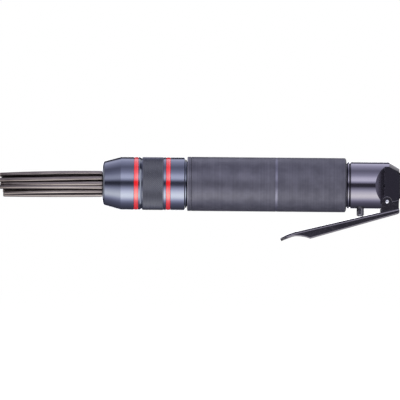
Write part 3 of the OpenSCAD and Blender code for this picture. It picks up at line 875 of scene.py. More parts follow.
@dataclass
class NeedleBundle(SubAssembly):
    """Nineteen needles in a centre, a ring of six and a ring of twelve. Sizes in millimetres."""

    radius: float = 1.5
    head_radius: float = 1.8
    head_length: float = 2.0
    head_edge: tuple[float, float] = (0.4, 0.3)
    head_gap: float = 0.05
    length: float = 125.0
    tip_x: float = -300.85
    held_x: float = -189.5
    inner_ring: float = 3.9
    outer_ring: float = 7.534
    ring_turn: float = 5.0
    inner_turn: float = 15.0
    stagger: float = 3.6
    count: int = 19
    tip_chamfer: float = 0.22
    spread: float = 0.2
    spread_turn: float = 2.4
    mouth_sag: float = 0.35
    tip_sag: float = 1.73
    mouth_share: float = 0.32
    stations: int = 14
    tip_slack: float = 0.4
    ring_slack: float = 0.05
    steps: int = 24

    def station_x(self, station: int) -> float:
        """Gives the place of a station on the straight master, counted from the tip to the holder."""
        start = self.tip_x + self.tip_chamfer
        return start + (self.held_x - start) * station / self.stations

    def section(self) -> Section:
        """Gives a needle's half section, with a ring of vertices at each station of its free length."""
        end = self.tip_x + self.length
        return [
            (self.tip_x, 0),
            (self.tip_x, self.radius - self.tip_chamfer),
            *[(self.station_x(i), self.radius) for i in range(self.stations + 1)],
            (end - self.head_length, self.radius),
            (end - self.head_length, self.head_radius),
            (end - self.head_edge[0], self.head_radius),
            (end - self.head_gap, self.head_radius - self.head_edge[1]),
            (end - self.head_gap, 0),
        ]

    def place(self, number: int) -> Vector:
        """Gives the way from the straight master to a needle's own place.

        Args:
            number: Number of the needle, from 0.

        Returns:
            The move, in metres.
        """
        if number == 0:
            ring, angle = 0.0, 0.0
        elif number <= 6:
            ring, angle = self.inner_ring, self.ring_turn + self.inner_turn + 60 * (number - 1)
        else:
            ring, angle = self.outer_ring, self.ring_turn + 30 * (number - 7)
        setback = self.stagger * ((2 * number + 3) % self.count) / (self.count - 1)
        turn = math.radians(angle)
        return Vector((setback, -ring * math.cos(turn), ring * math.sin(turn))) * MM

    def drift(self, number: int) -> tuple[Vector, Vector]:
        """Gives how far a needle lies off its straight line, as the bundle lies loose in the mouth.

        Args:
            number: Number of the needle, from 0.

        Returns:
            The way aside at the mouth and at the tip, in metres.
        """
        # The needles on the camera's side lie unevenly; one of them drops behind its neighbours.
        # Each has its way aside at the tip, then its rise at the mouth and at the tip
        seen = {
            10: (0.0, -0.1, -2.0),
            9: (0.0, 0.55, -1.35),
            8: (-1.5, -0.75, -2.7),
            7: (1.5, -0.8, -1.65),
            1: (1.0, -0.35, -1.5),
            18: (-0.9, 0.2, -0.2),
            17: (0.0, 0.25, -1.5),
            16: (0.0, -0.98, -1.5),
        }
        if number in seen:
            aside, mouth, tip = seen[number]
            return Vector((0, 0, mouth)) * MM, Vector((0, aside, tip)) * MM
        turn = self.spread_turn * number
        loose = Vector((0, math.cos(turn), math.sin(turn))) * self.spread
        return Vector((0, 0, -self.mouth_sag)) * MM, (loose - Vector((0, 0, self.tip_sag))) * MM

    def bend(self, needle: Piece, number: int) -> None:
        """Moves a copy to its place and bends its free length, ring by ring, through mouth and tip."""
        move = self.place(number)
        mouth, tip = self.drift(number)
        curve = (tip - mouth / self.mouth_share) / (1 - self.mouth_share)
        open_piece(needle, whole=True)
        bpy.ops.transform.translate(value=move)
        for station in range(self.stations):
            x = self.station_x(station) * MM + move.x
            share = 1 - station / self.stations
            slack = (self.ring_slack if station else self.tip_slack) * MM
            pick_verts(needle, lambda spot: abs(spot.x - x) < slack)
            bpy.ops.transform.translate(value=(tip - curve) * share + curve * share**2)
        close_piece()

    def build(self) -> None:
        """Models one needle and copies it for each place."""
        master = turned("needle_master", self.section(), self.steps)
        smooth(master, 40, weighted=False)
        for number in range(self.count):
            needle = master.copy()
            needle.data = master.data.copy()
            needle.name = f"needle_wire_{number + 1:02d}"
            bpy.context.scene.collection.objects.link(needle)
            self.bend(needle, number)
            node = f"needle_{number + 1:02d}"
            self.fit(needle, node, Finish.NEEDLE, [node])
        bpy.data.objects.remove(master, do_unlink=True)


@dataclass
class Grip(SubAssembly):
    """The barrel, the matte grip sleeve on it and the polished lock ring behind. Sizes in millimetres."""

    front_x: float = -163.7
    rear_x: float = -47.7
    radius: float = 19.75
    bore_radius: float = 16.75
    front_edge: float = 0.6
    lip_length: float = 3.0
    lip_groove: float = 0.6
    rear_round: tuple[float, float] = (1.5, 2.6)
    line_x: float = -98.7
    line_width: float = 1.6
    line_depth: float = 0.12
    ring_rear_x: float = -44.9
    ring_radius: float = 17.0
    ring_bore: float = 14.0
    ring_land: tuple[float, float] = (-46.65, -45.8)
    ring_floor: float = 16.0
    barrel_front_x: float = -179.6
    barrel_bore: float = 14.0
    barrel_radius: float = 16.6
    spigot_radius: float = 16.0
    collar_x: float = -165.3
    collar_radius: float = 17.6
    collar_end: float = -164.4
    collar_gap: float = 0.1
    spigot_edge: float = 0.4
    seat_depth: float = 1.0
    barrel_ease: float = 0.12
    ring_slope: float = 0.6
    ring_ease: float = 0.08

    def build_barrel(self) -> Piece:
        """Turns the barrel, with a narrow collar that falls off steeply towards the grip."""
        barrel = turned(
            "barrel_tube",
            [
                (self.barrel_front_x, self.barrel_bore),
                (self.barrel_front_x, self.spigot_radius - self.spigot_edge),
                (self.barrel_front_x + self.spigot_edge, self.spigot_radius),
                (self.collar_x + self.collar_gap, self.spigot_radius),
                (self.collar_x + self.collar_gap, self.collar_radius),
                (self.collar_end, self.collar_radius),
                (self.front_x, self.spigot_radius),
                (self.front_x + self.seat_depth, self.spigot_radius),
                (self.front_x + self.seat_depth, self.barrel_radius),
                (self.rear_x, self.barrel_radius),
                (self.rear_x, self.barrel_bore),
            ],
        )
        ease_edges(barrel, self.barrel_ease)
        smooth(barrel)
        return self.fit(barrel, "housing", Finish.BLUED, ["barrel"])

    def in_line(self, spot: Vector) -> bool:
        """Tells whether a point lies in the ring line."""
        near = abs(spot.x / MM - self.line_x) < self.line_width / 2
        return near and spot.yz.length > self.bore_radius * MM

    def on_front_edge(self, spot: Vector) -> bool:
        """Tells whether a point lies on the front edge, whose lighter finish is wear plus a painted
        highlight.
        """
        near = spot.x / MM < self.front_x + self.front_edge
        return near and spot.yz.length > (self.radius - self.front_edge) * MM

    def build(self) -> None:
        """Turns the barrel, the sleeve and the ring."""
        self.build_barrel()
        half = self.line_width / 2
        edge, lip = self.front_edge, self.lip_groove / 2
        lip_x = self.front_x + self.lip_length
        length, height = self.rear_round
        rounding = [
            (self.rear_x - length * (1 - along), self.radius - height * (1 - up))
            for along, up in arc((0, 0), 1, 90, 0, 11)
        ]
        sleeve = turned(
            "grip_sleeve",
            [
                (self.front_x, self.bore_radius),
                *arc((self.front_x + edge, self.radius - edge), edge, 180, 90, 6),
                (lip_x - lip, self.radius),
                (lip_x, self.radius - lip),
                (lip_x + lip, self.radius),
                (self.line_x - half, self.radius),
                (self.line_x, self.radius - self.line_depth),
                (self.line_x + half, self.radius),
                *rounding,
                (self.rear_x, self.bore_radius),
            ],
        )
        self.fit(sleeve, "housing", Finish.GRIP, ["grip"], [Finish.GRIP, Finish.LINE, Finish.EDGE])
        open_piece(sleeve)
        paint_faces(sleeve, self.in_line, 1)
        # The front edge takes a lighter finish: wear plus a painted highlight of its rounding
        paint_faces(sleeve, self.on_front_edge, 2)
        close_piece()
        smooth(sleeve, 20)
        # The ring has one bright land between two steep grooves
        ring = turned(
            "lock_collar",
            [
                (self.rear_x, self.ring_bore),
                (self.rear_x, self.ring_floor),
                (self.ring_land[0] - self.ring_slope, self.ring_floor),
                (self.ring_land[0], self.ring_radius),
                (self.ring_land[1], self.ring_radius),
                (self.ring_land[1] + self.ring_slope, self.ring_floor),
                (self.ring_rear_x, self.ring_floor),
                (self.ring_rear_x, self.ring_bore),
            ],
        )
        ease_edges(ring, self.ring_ease)
        smooth(ring)
        self.fit(ring, "housing", Finish.HEAD, ["lock_ring"])


@dataclass
class Head(SubAssembly):
    """The head with its two flats, and the inlet bushing with its thread. Sizes in millimetres."""

    spigot_x: float = -62.0
    spigot_radius: float = 13.95
    front_x: float = -44.9
    rear_x: float = -9.0
    radius: float = HEAD_RADIUS
    rows: int = 14
    edge: float = 0.4
    chamfer_length: float = 7.5
    chamfer_drop: float = 4.5
    socket_x: float = -25.9
    socket_radius: float = 8.05
    flat_half: float = 10.0
    flat_x: float = -19.7
    ear_room: float = 5.0
    throttle_radius: float = 5.5
    throttle_depth: float = 5.5
    overcut: float = 1.0
    body_ease: float = 0.22
    hex_half: float = 9.5
    hex_x: float = -8.0
    hex_chamfer: float = 1.1
    hex_ease: float = 0.15
    shank_x: float = -25.0
    shank_radius: float = 8.0
    inlet_radius: float = 5.7
    inlet_depth: float = 14.0
    inlet_cone: float = 1.2
    lead_in: tuple[float, float] = (-0.9, 0.1)
    slip: float = 0.05
    passage_radius: float = 3.5
    thread_pitch: float = 1.4
    thread_height: float = 0.6
    thread_crest: float = 0.12
    thread_foot: float = 0.42
    thread_root: float = 0.1
    thread_start: float = 2.0
    thread_turns: int = 8

    def cut_flat(self, body: Piece, side: int) -> None:
        """Mills one flat with its sloped shoulder, and the room for the lever's ear beside it."""
        rise = self.radius - self.flat_half + self.overcut
        tall = 3 * self.radius
        corners = [
            (self.flat_x, self.flat_half),
            (self.flat_x - rise, self.flat_half + rise),
            (self.hex_x, self.flat_half + rise),
            (self.hex_x, self.flat_half),
        ]
        outline = [Vector((x, side * y, -tall / 2)) * MM for x, y in corners]
        carve(body, prism("flat_mill", outline, Vector((0, 0, tall * MM))))
        room = rod(side * self.flat_half, side * (self.radius + 4 * self.overcut), self.ear_room)
        carve(body, turned("ear_mill", room, 64, Axis.Y, foot_at(*PIVOT)))

    def build_body(self) -> Piece:
        """Turns the head, mills its flats and bores it for the throttle."""
        body = turned(
            "head_body",
            [
                (self.spigot_x, 0),
                (self.spigot_x, self.spigot_radius),
                (self.front_x, self.spigot_radius),
                (self.front_x, self.radius - self.edge),
                (self.front_x + self.edge, self.radius),
                *[(self.rear_x - self.chamfer_length - row, self.radius) for row in range(self.rows, -1, -1)],
                (self.rear_x, self.radius - self.chamfer_drop),
                (self.rear_x, self.socket_radius),
                (self.socket_x, self.socket_radius),
                (self.socket_x, 0),
            ],
        )
        for side in (-1, 1):
            self.cut_flat(body, side)
        low, high = -self.radius - 2 * self.overcut, -self.radius + self.throttle_depth
        bore = rod(low, high, self.throttle_radius)
        carve(body, turned("throttle_drill", bore, 64, Axis.Z, foot_at(THROTTLE_X)))
        ease_edges(body, self.body_ease, angle=24)
        smooth(body)
        return self.fit(body, "housing", Finish.HEAD, ["head"])

    def build_bushing(self) -> Piece:
        """Makes the hexagon bushing with its chamfered corners and its bore."""
        corner = self.hex_half / math.cos(math.pi / 6)
        turns = [math.radians(60 * k) for k in range(6)]
        outline = [Vector((self.hex_x, corner * math.cos(a), corner * math.sin(a))) * MM for a in turns]
        bushing = prism("inlet_hexagon", outline, Vector((-self.hex_x * MM, 0, 0)))
        ramp = self.hex_chamfer * math.tan(math.radians(30))
        cone = turned(
            "corner_cone",
            [
                (self.hex_x, 0),
                (self.hex_x, corner - self.hex_chamfer / 2),
                (self.hex_x + ramp / 2, corner + self.slip),
                (-ramp, corner + self.slip),
                (0, corner - self.hex_chamfer),
                (0, 0),
            ],
        )
        carve(bushing, cone, Cut.WITHIN)
        shank = rod(self.shank_x, self.hex_x + self.overcut, self.shank_radius)
        carve(bushing, turned("shank_stock", shank, 96), Cut.ONTO)
        bore = [
            (self.shank_x - self.overcut, 0),
            (self.shank_x - self.overcut, self.passage_radius),
            (-self.inlet_depth, self.passage_radius),
            (-self.inlet_depth + self.inlet_cone, self.inlet_radius),
            (self.lead_in[0], self.inlet_radius),
            (self.lead_in[1], self.inlet_radius + self.overcut),
            (self.lead_in[1], 0),
        ]
        carve(bushing, turned("inlet_drill", bore, 96))
        ease_edges(bushing, self.hex_ease, angle=24)
        smooth(bushing)
        return self.fit(bushing, "housing", Finish.BUSHING, ["inlet_bushing"])

    def build_thread(self) -> Piece:
        """Winds the thread in the bushing's bore."""
        half = self.thread_pitch * self.thread_foot
        crest, root = self.inlet_radius - self.thread_height, self.inlet_radius + self.thread_root
        start = -self.inlet_depth + self.thread_start
        section = [
            (start - half, root),
            (start - self.thread_crest, crest),
            (start + self.thread_crest, crest),
            (start + half, root),
        ]
        thread = wound("inlet_thread", section, self.thread_pitch, self.thread_turns)
        smooth(thread, 30, weighted=False)
        return self.fit(thread, "housing", Finish.BUSHING)

    def build(self) -> None:
        """Builds the head and the inlet."""
        self.build_body()
        self.build_bushing()
        self.build_thread()


@dataclass
class Springs(SubAssembly):
    """The needle holder's return spring and the throttle's poppet spring. Sizes in millimetres."""

    return_x: tuple[float, float] = (-220.5, -184.2)
    return_radius: float = 12.0
    return_wire: float = 1.1
    return_turns: int = 7
    return_travel: float = 8.0
    poppet_radius: float = 2.85
    poppet_wire: float = 0.35
    poppet_turns: int = 6
    poppet_travel: float = 3.4

    def coil(
        self, name: str, ends: tuple[float, float], mean: float, wire: float, turns: int, axis: Axis
    ) -> Piece:
        """Winds one round wire between two ends.

        Args:
            name: Name of the piece.
            ends: Both ends along the axis.
            mean: Radius to the middle of the wire.
            wire: Radius of the wire.
            turns: Number of turns.
            axis: Axis of the coil.

        Returns:
            The coil.
        """
        start, end = ends
        pitch = (end - start - 2 * wire) / turns
        section = arc((start + wire, mean), wire, 0, 330, 11)
        coil = wound(name, section, pitch, turns, axis)
        smooth(coil, 40, weighted=False)
        return coil

    def build(self) -> None:
        """Winds both springs, each with a mesh of its own."""
        size = (self.return_radius, self.return_wire, self.return_turns)
        back = self.coil("return_coil", self.return_x, *size, Axis.X)
        self.fit(back, "housing", Finish.SPRING, ["return_spring"])
        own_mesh(back)
        low, high = (corner.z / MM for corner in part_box("poppet_spring"))
        size = (self.poppet_radius, self.poppet_wire, self.poppet_turns)
        coil = self.coil("poppet_coil", (low, high), *size, Axis.Z)
        open_piece(coil, whole=True)
        bpy.ops.transform.translate(value=foot_at(THROTTLE_X))
        close_piece()
        self.fit(coil, "housing", Finish.SPRING, ["poppet_spring"])
        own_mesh(coil)


@dataclass
class Throttle(SubAssembly):
    """The pressed lever, the plunger that it lifts and the pin that it turns on. Sizes in millimetres."""

    slope: float = 13.6
    half_width: float = 11.9
    sheet: float = 1.6
    web_drop: float = 6.4
    web_reach: float = 69.2
    tail: float = 7.4
    tail_radius: float = 2.1
    tail_stations: tuple[float, float] = (-7.0, -6.3)
    curl_radius: float = 43.0
    curl_turn: float = 17.4
    rear_depth: float = 4.2
    front_depth: float = 7.2
    front_corner: float = 60.6
    lip: float = 2.7
    tip_corner: float = 5.0
    bend_radius: float = 1.7
    lip_end: float = 2.3
    lip_taper: float = 5.0
    notch_end: float = 74.3
    notch_stations: Sequence[float] = (61.8, 63.4, 65.2, 67.2)
    side_start: float = 0.3
    edge_round: float = 0.9
    ear_radius: float = 3.8
    ear_foot: float = 6.4
    ear_faces: tuple[float, float] = (10.32, 11.35)
    ear_rim: float = 0.45
    side_drop: float = 0.72
    ear_inset: float = 0.02
    edge_slack: float = 0.05
    pin_radius: float = 1.5
    pin_half: float = 12.4
    pin_dome: Sequence[tuple[float, float]] = ((0.55, 0.0), (0.5, 0.45), (0.36, 0.9), (0.14, 1.25))
    pin_edge: float = 0.75
    pin_room: float = 0.06
    overcut: float = 2.0
    plunger_radius: float = 2.4
    plunger_end: float = -22.576
    plunger_round: float = 1.6
    plunger_ease: float = 0.12
    button_radius: float = 2.72
    button_top: float = -16.5
    button_rise: float = 3.5
    collar_radius: float = 4.3
    collar_drop: float = 7.0
    collar_thick: float = 1.4
    stem_radius: float = 1.4
    slip: float = 0.05
    guide_radius: float = 5.45
    guide_end: float = -18.5
    guide_top: float = -11.8
    guide_room: float = 8.0
    guide_ease: float = 0.1
    seal_room: tuple[float, float] = (3.6, 1.2)

    def at(self, along: float, across: float, up: float) -> Vector:
        """Gives a point of the lever.

        Args:
            along: Distance from the pivot along the web.
            across: Distance from the middle.
            up: Distance above the pivot, square to the web.

        Returns:
            The point in metres.
        """
        turn = math.radians(self.slope)
        x = PIVOT[0] - along * math.cos(turn) - up * math.sin(turn)
        z = PIVOT[1] - along * math.sin(turn) + up * math.cos(turn)
        return Vector((x, across, z)) * MM

    def stations(self) -> Section:
        """Gives the web's upper line as (along, up) points, from the tail to the tip."""
        # They lie closer where the sides' lower edge is curved
        tail = [-self.tail, *self.tail_stations, self.tail_radius - self.tail]
        straight = range(0, 60, 10)
        notch = [self.front_corner, *self.notch_stations, self.web_reach]
        line = [(along, -self.web_drop) for along in (*tail, *straight, *notch)]
        middle = (self.web_reach, -self.web_drop - self.curl_radius)
        return line + arc(middle, self.curl_radius, 90, 90 - self.curl_turn, 12)[1:]

    def depth(self, along: float) -> float:
        """Gives the depth of a side below the web's upper face at a distance along the web."""
        rear_u = self.tail_radius - self.tail
        if along < rear_u:
            drop = self.tail_radius - math.sqrt(self.tail_radius**2 - (along - rear_u) ** 2)
            return self.rear_depth - drop
        if along <= self.front_corner:
            share = (along - rear_u) / (self.front_corner - rear_u)
            return self.rear_depth + (self.front_depth - self.rear_depth) * share
        if along < self.notch_end:
            share = (self.notch_end - along) / (self.notch_end - self.front_corner)
            return self.lip + (self.front_depth - self.lip) * share**2
        tip = self.web_reach + self.curl_radius * math.sin(math.radians(self.curl_turn))
        share = max(along - (tip - self.lip_taper), 0) / self.lip_taper
        return self.lip + (self.lip_end - self.lip) * share

    def half_at(self, along: float, tip: float) -> float:
        """Gives the half width at a distance along the web, with the tip's round corners."""
        past = along - (tip - self.tip_corner)
        if past <= 0:
            return self.half_width
        return self.half_width - self.tip_corner + math.sqrt(max(self.tip_corner**2 - past**2, 0))

    def bend_sheet(self) -> Piece:
        """Bends the channel from one strip: web, sides, curl and round tip, then gives it its thickness."""
        line = self.stations()
        tip = line[-1][0]
        right = -self.half_width
        lever = draw_line("throttle_lever", [self.at(u, right, w) for u, w in line], closed=False)
        extrude_to(Vector((0, 2 * self.half_width * MM, 0)))
        for along, up in line:
            inset = self.half_width - self.half_at(along, tip)
            for side in (-1, 1):
                spot = self.at(along, side * self.half_width, up)
                if inset > 0:
                    move_vertex(lever, spot, Vector((0, -side * inset * MM, 0)))
        pick_edges(lever, lambda a, b: a.y * b.y > 0)
        start = self.side_start
        extrude_to(self.at(0, 0, -start) - self.at(0, 0, 0))
        for along, up in line:
            # Past the web the lip points to the middle of the curl
            lean = math.asin(max(along - self.web_reach, 0) / self.curl_radius)
            depth = self.depth(along)
            low = (along - depth * math.sin(lean), up - depth * math.cos(lean))
            for side in (-1, 1):
                half = side * self.half_at(along, tip)
                spot = self.at(along, half, up - start)
                move_vertex(lever, spot, self.at(low[0], half, low[1]) - spot)
        top = [self.at(u, side * self.half_at(u, tip), w) for u, w in line for side in (-1, 1)]
        pick_edges(lever, lambda a, b: a.y * b.y > 0 and lies_on(a, top) and lies_on(b, top))
        bpy.ops.mesh.bevel(offset=self.bend_radius * MM, segments=5, affect="EDGES")
        close_seams()
        close_piece()
        web = max(lever.data.polygons, key=lambda face: face.area)
        if web.normal.z < 0:
            open_piece(lever, whole=True)
            bpy.ops.mesh.flip_normals()
            close_piece()
        apply_modifier(lever, "SOLIDIFY", thickness=self.sheet * MM, offset=-1, use_even_offset=True)
        # The sides' lower edges are rounded outside, where they catch the light
        outside = (self.half_width - self.edge_slack) * MM
        open_piece(lever)
        pick_edges(lever, lambda a, b: min(abs(a.y), abs(b.y)) > outside, sharper=40)
        bpy.ops.mesh.bevel(offset=self.edge_round * MM, segments=3, affect="EDGES")
        close_piece()
        return lever

    def ear_outline(self, across: float) -> list[Vector]:
        """Gives the outline of an ear and the tall side behind it, with their foot in the channel's side."""
        foot = -self.web_drop - self.sheet
        # The rear edge stands upright while the lever is at rest
        lean = (self.web_drop - self.side_drop) * math.tan(math.radians(self.slope))
        meeting = 180 + math.degrees(math.asin(self.side_drop / self.ear_radius))
        corners = [
            *arc((0, 0), self.ear_radius, 0, meeting, 24),
            (-self.tail - lean, -self.side_drop),
            (-self.tail + self.ear_inset, -self.web_drop),
            (-self.tail + self.ear_inset, foot),
            (self.ear_foot, foot),
            (self.ear_foot, -self.web_drop),
        ]
        return [self.at(along, across, up) for along, up in corners]

    def build_lever(self) -> Piece:
        """Bends the channel, adds its ears and drills them for the pin."""
        lever = self.bend_sheet()
        for side in (-1, 1):
            inner, outer = self.ear_faces
            depth = Vector((0, side * (inner - outer) * MM, 0))
            ear = prism("ear_plate", self.ear_outline(side * outer), depth)
            ease_edges(ear, self.ear_rim, angle=50)
            carve(lever, ear, Cut.ONTO)
        reach = self.half_width + self.overcut
        hole = rod(-reach, reach, self.pin_radius + self.pin_room)
        carve(lever, turned("ear_drill", hole, 48, Axis.Y, foot_at(*PIVOT)))
        smooth(lever)
        return self.fit(lever, "lever", Finish.LEVER, ["lever"])

    def build_pin(self) -> Piece:
        """Turns the pivot pin with its domed ends."""
        half, top = self.pin_half, self.pin_dome[0][0]
        section = [
            *[(-half + top - rise, radius) for rise, radius in self.pin_dome],
            (-half + self.pin_edge, self.pin_radius),
            (half - self.pin_edge, self.pin_radius),
            *[(half - top + rise, radius) for rise, radius in reversed(self.pin_dome)],
        ]
        pin = turned("pivot_rivet", section, 48, Axis.Y, foot_at(*PIVOT))
        smooth(pin, 40)
        return self.fit(pin, "housing", Finish.BRIGHT, ["pivot_pin"])

    def build_plunger(self) -> Piece:
        """Turns the plunger with its rounded end and its collar."""
        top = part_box("plunger")[1].z / MM
        collar = top - self.collar_drop
        radius, curve = self.plunger_radius, self.plunger_round
        rounding = arc((self.plunger_end + curve, self.button_radius - curve), curve, 180, 90, 8)
        section = [
            (self.plunger_end, 0),
            *rounding,
            (self.button_top, self.button_radius),
            (self.button_top, radius),
            (collar, radius),
            (collar, self.collar_radius),
            (collar + self.collar_thick, self.collar_radius),
            (collar + self.collar_thick, self.stem_radius),
            (top, self.stem_radius),
            (top, 0),
        ]
        plunger = turned("throttle_plunger", section, 64, Axis.Z, foot_at(THROTTLE_X))
        ease_edges(plunger, self.plunger_ease, angle=40)
        smooth(plunger)
        return self.fit(plunger, "plunger", Finish.BRIGHT, ["plunger"], [Finish.PLUNGER])

    def build_guide(self) -> Piece:
        """Turns the plunger's guide and cuts its lower end to the head's round."""
        bore, wide_bore = self.plunger_radius + self.slip, self.button_radius + self.slip
        room, depth = self.seal_room
        section = [
            (self.button_top + self.button_rise, bore),
            (self.button_top + self.button_rise, wide_bore),
            (self.guide_end, wide_bore),
            (self.guide_end, self.guide_radius),
            (self.guide_top, self.guide_radius),
            (self.guide_top, room),
            (self.guide_top - depth, room),
            (self.guide_top - depth, bore),
        ]
        guide = turned("throttle_guide", section, 96, Axis.Z, foot_at(THROTTLE_X))
        within = rod(THROTTLE_X - self.guide_room, THROTTLE_X + self.guide_room, HEAD_RADIUS)
        carve(guide, turned("head_round", within), Cut.WITHIN)
        ease_edges(guide, self.guide_ease)
        smooth(guide)
        return self.fit(guide, "housing", Finish.BRONZE, ["throttle_bush"], [Finish.HEAD])

    def build(self) -> None:
        """Builds the throttle's outer pieces."""
        lever = self.build_lever()
        # The polished head would mirror the lever as a black bar
        lever.visible_glossy = False
        self.build_pin()
        self.build_plunger()
        self.build_guide()


@dataclass
class InnerWorks(SubAssembly):
    """The CAD pieces that stay as they are, with finishes of their own."""

    def build(self) -> None:
        """Puts a finish on every CAD node that stays."""
        finishes = {
            Finish.INNER: [
                "needle_holder",
                "anvil",
                "cylinder",
                "piston",
                "valve_front_plate",
                "valve_disc",
                "valve_rear_plate",
                "poppet",
            ],
            Finish.BRIGHT: ["valve_dowels"],
            Finish.BRONZE: ["anvil_bush", "valve_seat", "inlet_screen"],
            Finish.SEAL: ["anvil_buffer", "head_seal", "throttle_seal", "inlet_gasket"],
        }
        for kind, nodes in finishes.items():
            for node in nodes:
                self.shop.coat(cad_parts[node], kind)
                LOG.info("%s keeps its CAD shape", node)


@dataclass
class Studio:
    """White surroundings, soft lamps, long cards that the metal mirrors, and the camera. Sizes in metres."""

    middle_x: float = -0.1543
    middle_z: float = -0.0117
    frame_width: float = 0.292
    distance: float = 5.0
    roll: float = -0.51
    sensor: float = 36.0
    room_level: float = 0.55
    floor_z: float = -0.165
    floor_side: float = 12
    floor_glow: float = 0.5
    tube_radius: float = 0.9
    tube_places: tuple[float, float, float] = (-1.1, 0.12, 1.4)
    open_angle: float = 122
    left_fade: tuple[float, float] = (-0.9, -0.45)
    right_fade: tuple[float, float] = (0.15, 0.4)
    end_levels: tuple[float, float] = (0.45, 0.3)
    upper_gain: tuple[float, float] = (-0.1, -0.05)
    upper_rise: float = 0.45
    cool: float = 1.35
    warm: float = 0.4
    warm_level: float = 4
    glow_ends: tuple[float, float] = (0.34, 1.4)
    glow_angles: tuple[float, float] = (-140, 85)
    glow_radius: float = 0.88
    glow_level: float = 1.8
    flag_colour: str = "#e9e6ff"
    # Two flags past the inlet for the head's shoulders, whose inner half is the darker one, one below
    # for its rear edge and one by the camera for its flats: as build_flag takes them
    flags: Sequence[tuple[str, Spot, float, Axis, float]] = (
        ("far_flag", (0.9, 0, 0), 0.7, Axis.Y, 0.8),
        ("inlet_flag", (0.035, 0, 0), 0.0255, Axis.Y, 0.1),
        ("low_flag", (0.09, 0.035, -0.12), 0.15, Axis.Z, 0.19),
        ("near_flag", (0.07, -0.8, 0), 0.22, Axis.X, 0.21),
    )
    # As build_lamp takes them
    lamps: Sequence[tuple[str, Spot, float, float]] = (
        ("front_lamp", (-0.5, -1.1, 0.9), 11, 0.8),
        ("low_lamp", (0.1, -1.0, -0.1), 4, 0.7),
        ("back_lamp", (-0.1, 1.2, 0.4), 10, 0.8),
    )
    # Brightness by the angle round the tool's axis, in degrees from the camera's side upwards
    tone_stops: Sequence[tuple[float, float]] = (
        (-180, 3.0), (-171, 2.4), (-163, 0.1), (-145, 0.1), (-122, 0.25), (-100, 0.5), (-86, 1.0),
        (-76, 1.9), (-62, 3.8), (-52, 4.2), (-36, 3.2), (-22, 1.7), (-8, 0.35), (0, 0.17), (8, 0.2),
        (16, 1.3), (24, 2.4), (36, 2.1), (48, 1.2), (62, 0.75), (76, 0.55), (98, 1.05), (118, 1.5),
        (128, 1.7), (137, 0.6), (144, 0.02), (163, 0.02), (171, 2.4), (180, 3.0),
    )

    def build_camera(self) -> None:
        """Sets a long lens square to the tool's side."""
        lens = bpy.data.cameras.new("side_camera")
        lens.sensor_width = self.sensor
        lens.lens = self.sensor * self.distance / self.frame_width
        camera = bpy.data.objects.new("side_camera", lens)
        camera.location = (self.middle_x, -self.distance, self.middle_z)
        camera.rotation_euler = (math.pi / 2, math.radians(self.roll), 0)
        bpy.context.scene.collection.objects.link(camera)
        bpy.context.scene.camera = camera

    def build_world(self) -> None:
        """Makes the surroundings white to the eye and soft as a light."""
        world = bpy.data.worlds.new("white_room")
        world.use_nodes = True
        tree = world.node_tree
        tree.nodes.clear()
        path = add_node(tree, "LightPath").outputs
        mirrored = [path["Is Glossy Ray"], path["Is Transmission Ray"]]
        in_mirror = add_node(tree, "Math", mirrored, operation="MAXIMUM")
        seen = add_node(tree, "Math", [path["Is Camera Ray"], in_mirror], operation="MAXIMUM")
        level = add_node(tree, "MapRange", [seen, 0.0, 1.0, self.room_level, 1.0])
        light = add_node(tree, "Background", {"Color": linear("#ffffff"), "Strength": level})
        add_node(tree, "OutputWorld", {"Surface": light})
        bpy.context.scene.world = world

    def build_floor(self) -> None:
        """Lays a pale floor that glows white and still takes a shadow."""
        deselect()
        bpy.ops.mesh.primitive_plane_add(size=1, enter_editmode=True)
        floor = bpy.context.object
        floor.name = "pale_floor"
        bpy.ops.transform.resize(value=(self.floor_side, self.floor_side, 1))
        bpy.ops.transform.translate(value=(self.middle_x, 0, self.floor_z))
        bpy.ops.mesh.subdivide(number_cuts=4)
        close_piece()
        material, tree = new_material("pale_floor_paint")
        seen = add_node(tree, "LightPath").outputs["Is Camera Ray"]
        paint = add_node(tree, "BsdfDiffuse", {"Color": linear("#f4f4f4")})
        glow = add_node(tree, "Emission", {"Strength": self.floor_glow})
        both = add_node(tree, "AddShader", [paint, glow])
        shown = add_node(tree, "MixShader", [seen, paint, both])
        # From below the floor can be seen through
        below = add_node(tree, "NewGeometry").outputs["Backfacing"]
        clear = add_node(tree, "BsdfTransparent")
        lower = add_node(tree, "MixShader", [below, shown, clear])
        add_node(tree, "OutputMaterial", {"Surface": lower})
        floor.data.materials.append(material)
        floor.visible_glossy = False

    def hang(self, card: Piece, glow: Callable[[Tree], dict]) -> None:
        """Makes a stage card shine and hides it from all but reflections.

        Args:
            card: The card.
            glow: Builds what the glow needs in the card's node tree, and gives the inputs of the glow.
        """
        material, tree = new_material(card.name)
        light = add_node(tree, "Emission", glow(tree))
        add_node(tree, "OutputMaterial", {"Surface": light})
        card.data.materials.append(material)
        card.visible_camera = False
        card.visible_diffuse = False
        card.visible_shadow = False
        card.visible_transmission = False

    def angle_of(self, spot: Vector) -> float:
        """Gives a point's angle round the tool's axis, in degrees, from the camera's side upwards."""
        return math.degrees(math.atan2(spot.z, -spot.y))

    def open_tube(self, name: str, places: Sequence[float], radius: float) -> Piece:
        """Makes an open tube round the tool's axis, with a ring of vertices at each place along it."""
        tube = draw_line(name, [Vector((x, 0, radius)) for x in places], closed=False)
        bpy.ops.mesh.spin(steps=96, angle=FULL_TURN, center=ORIGIN, axis=Axis.X.value)
        close_seams()
        close_piece()
        return tube

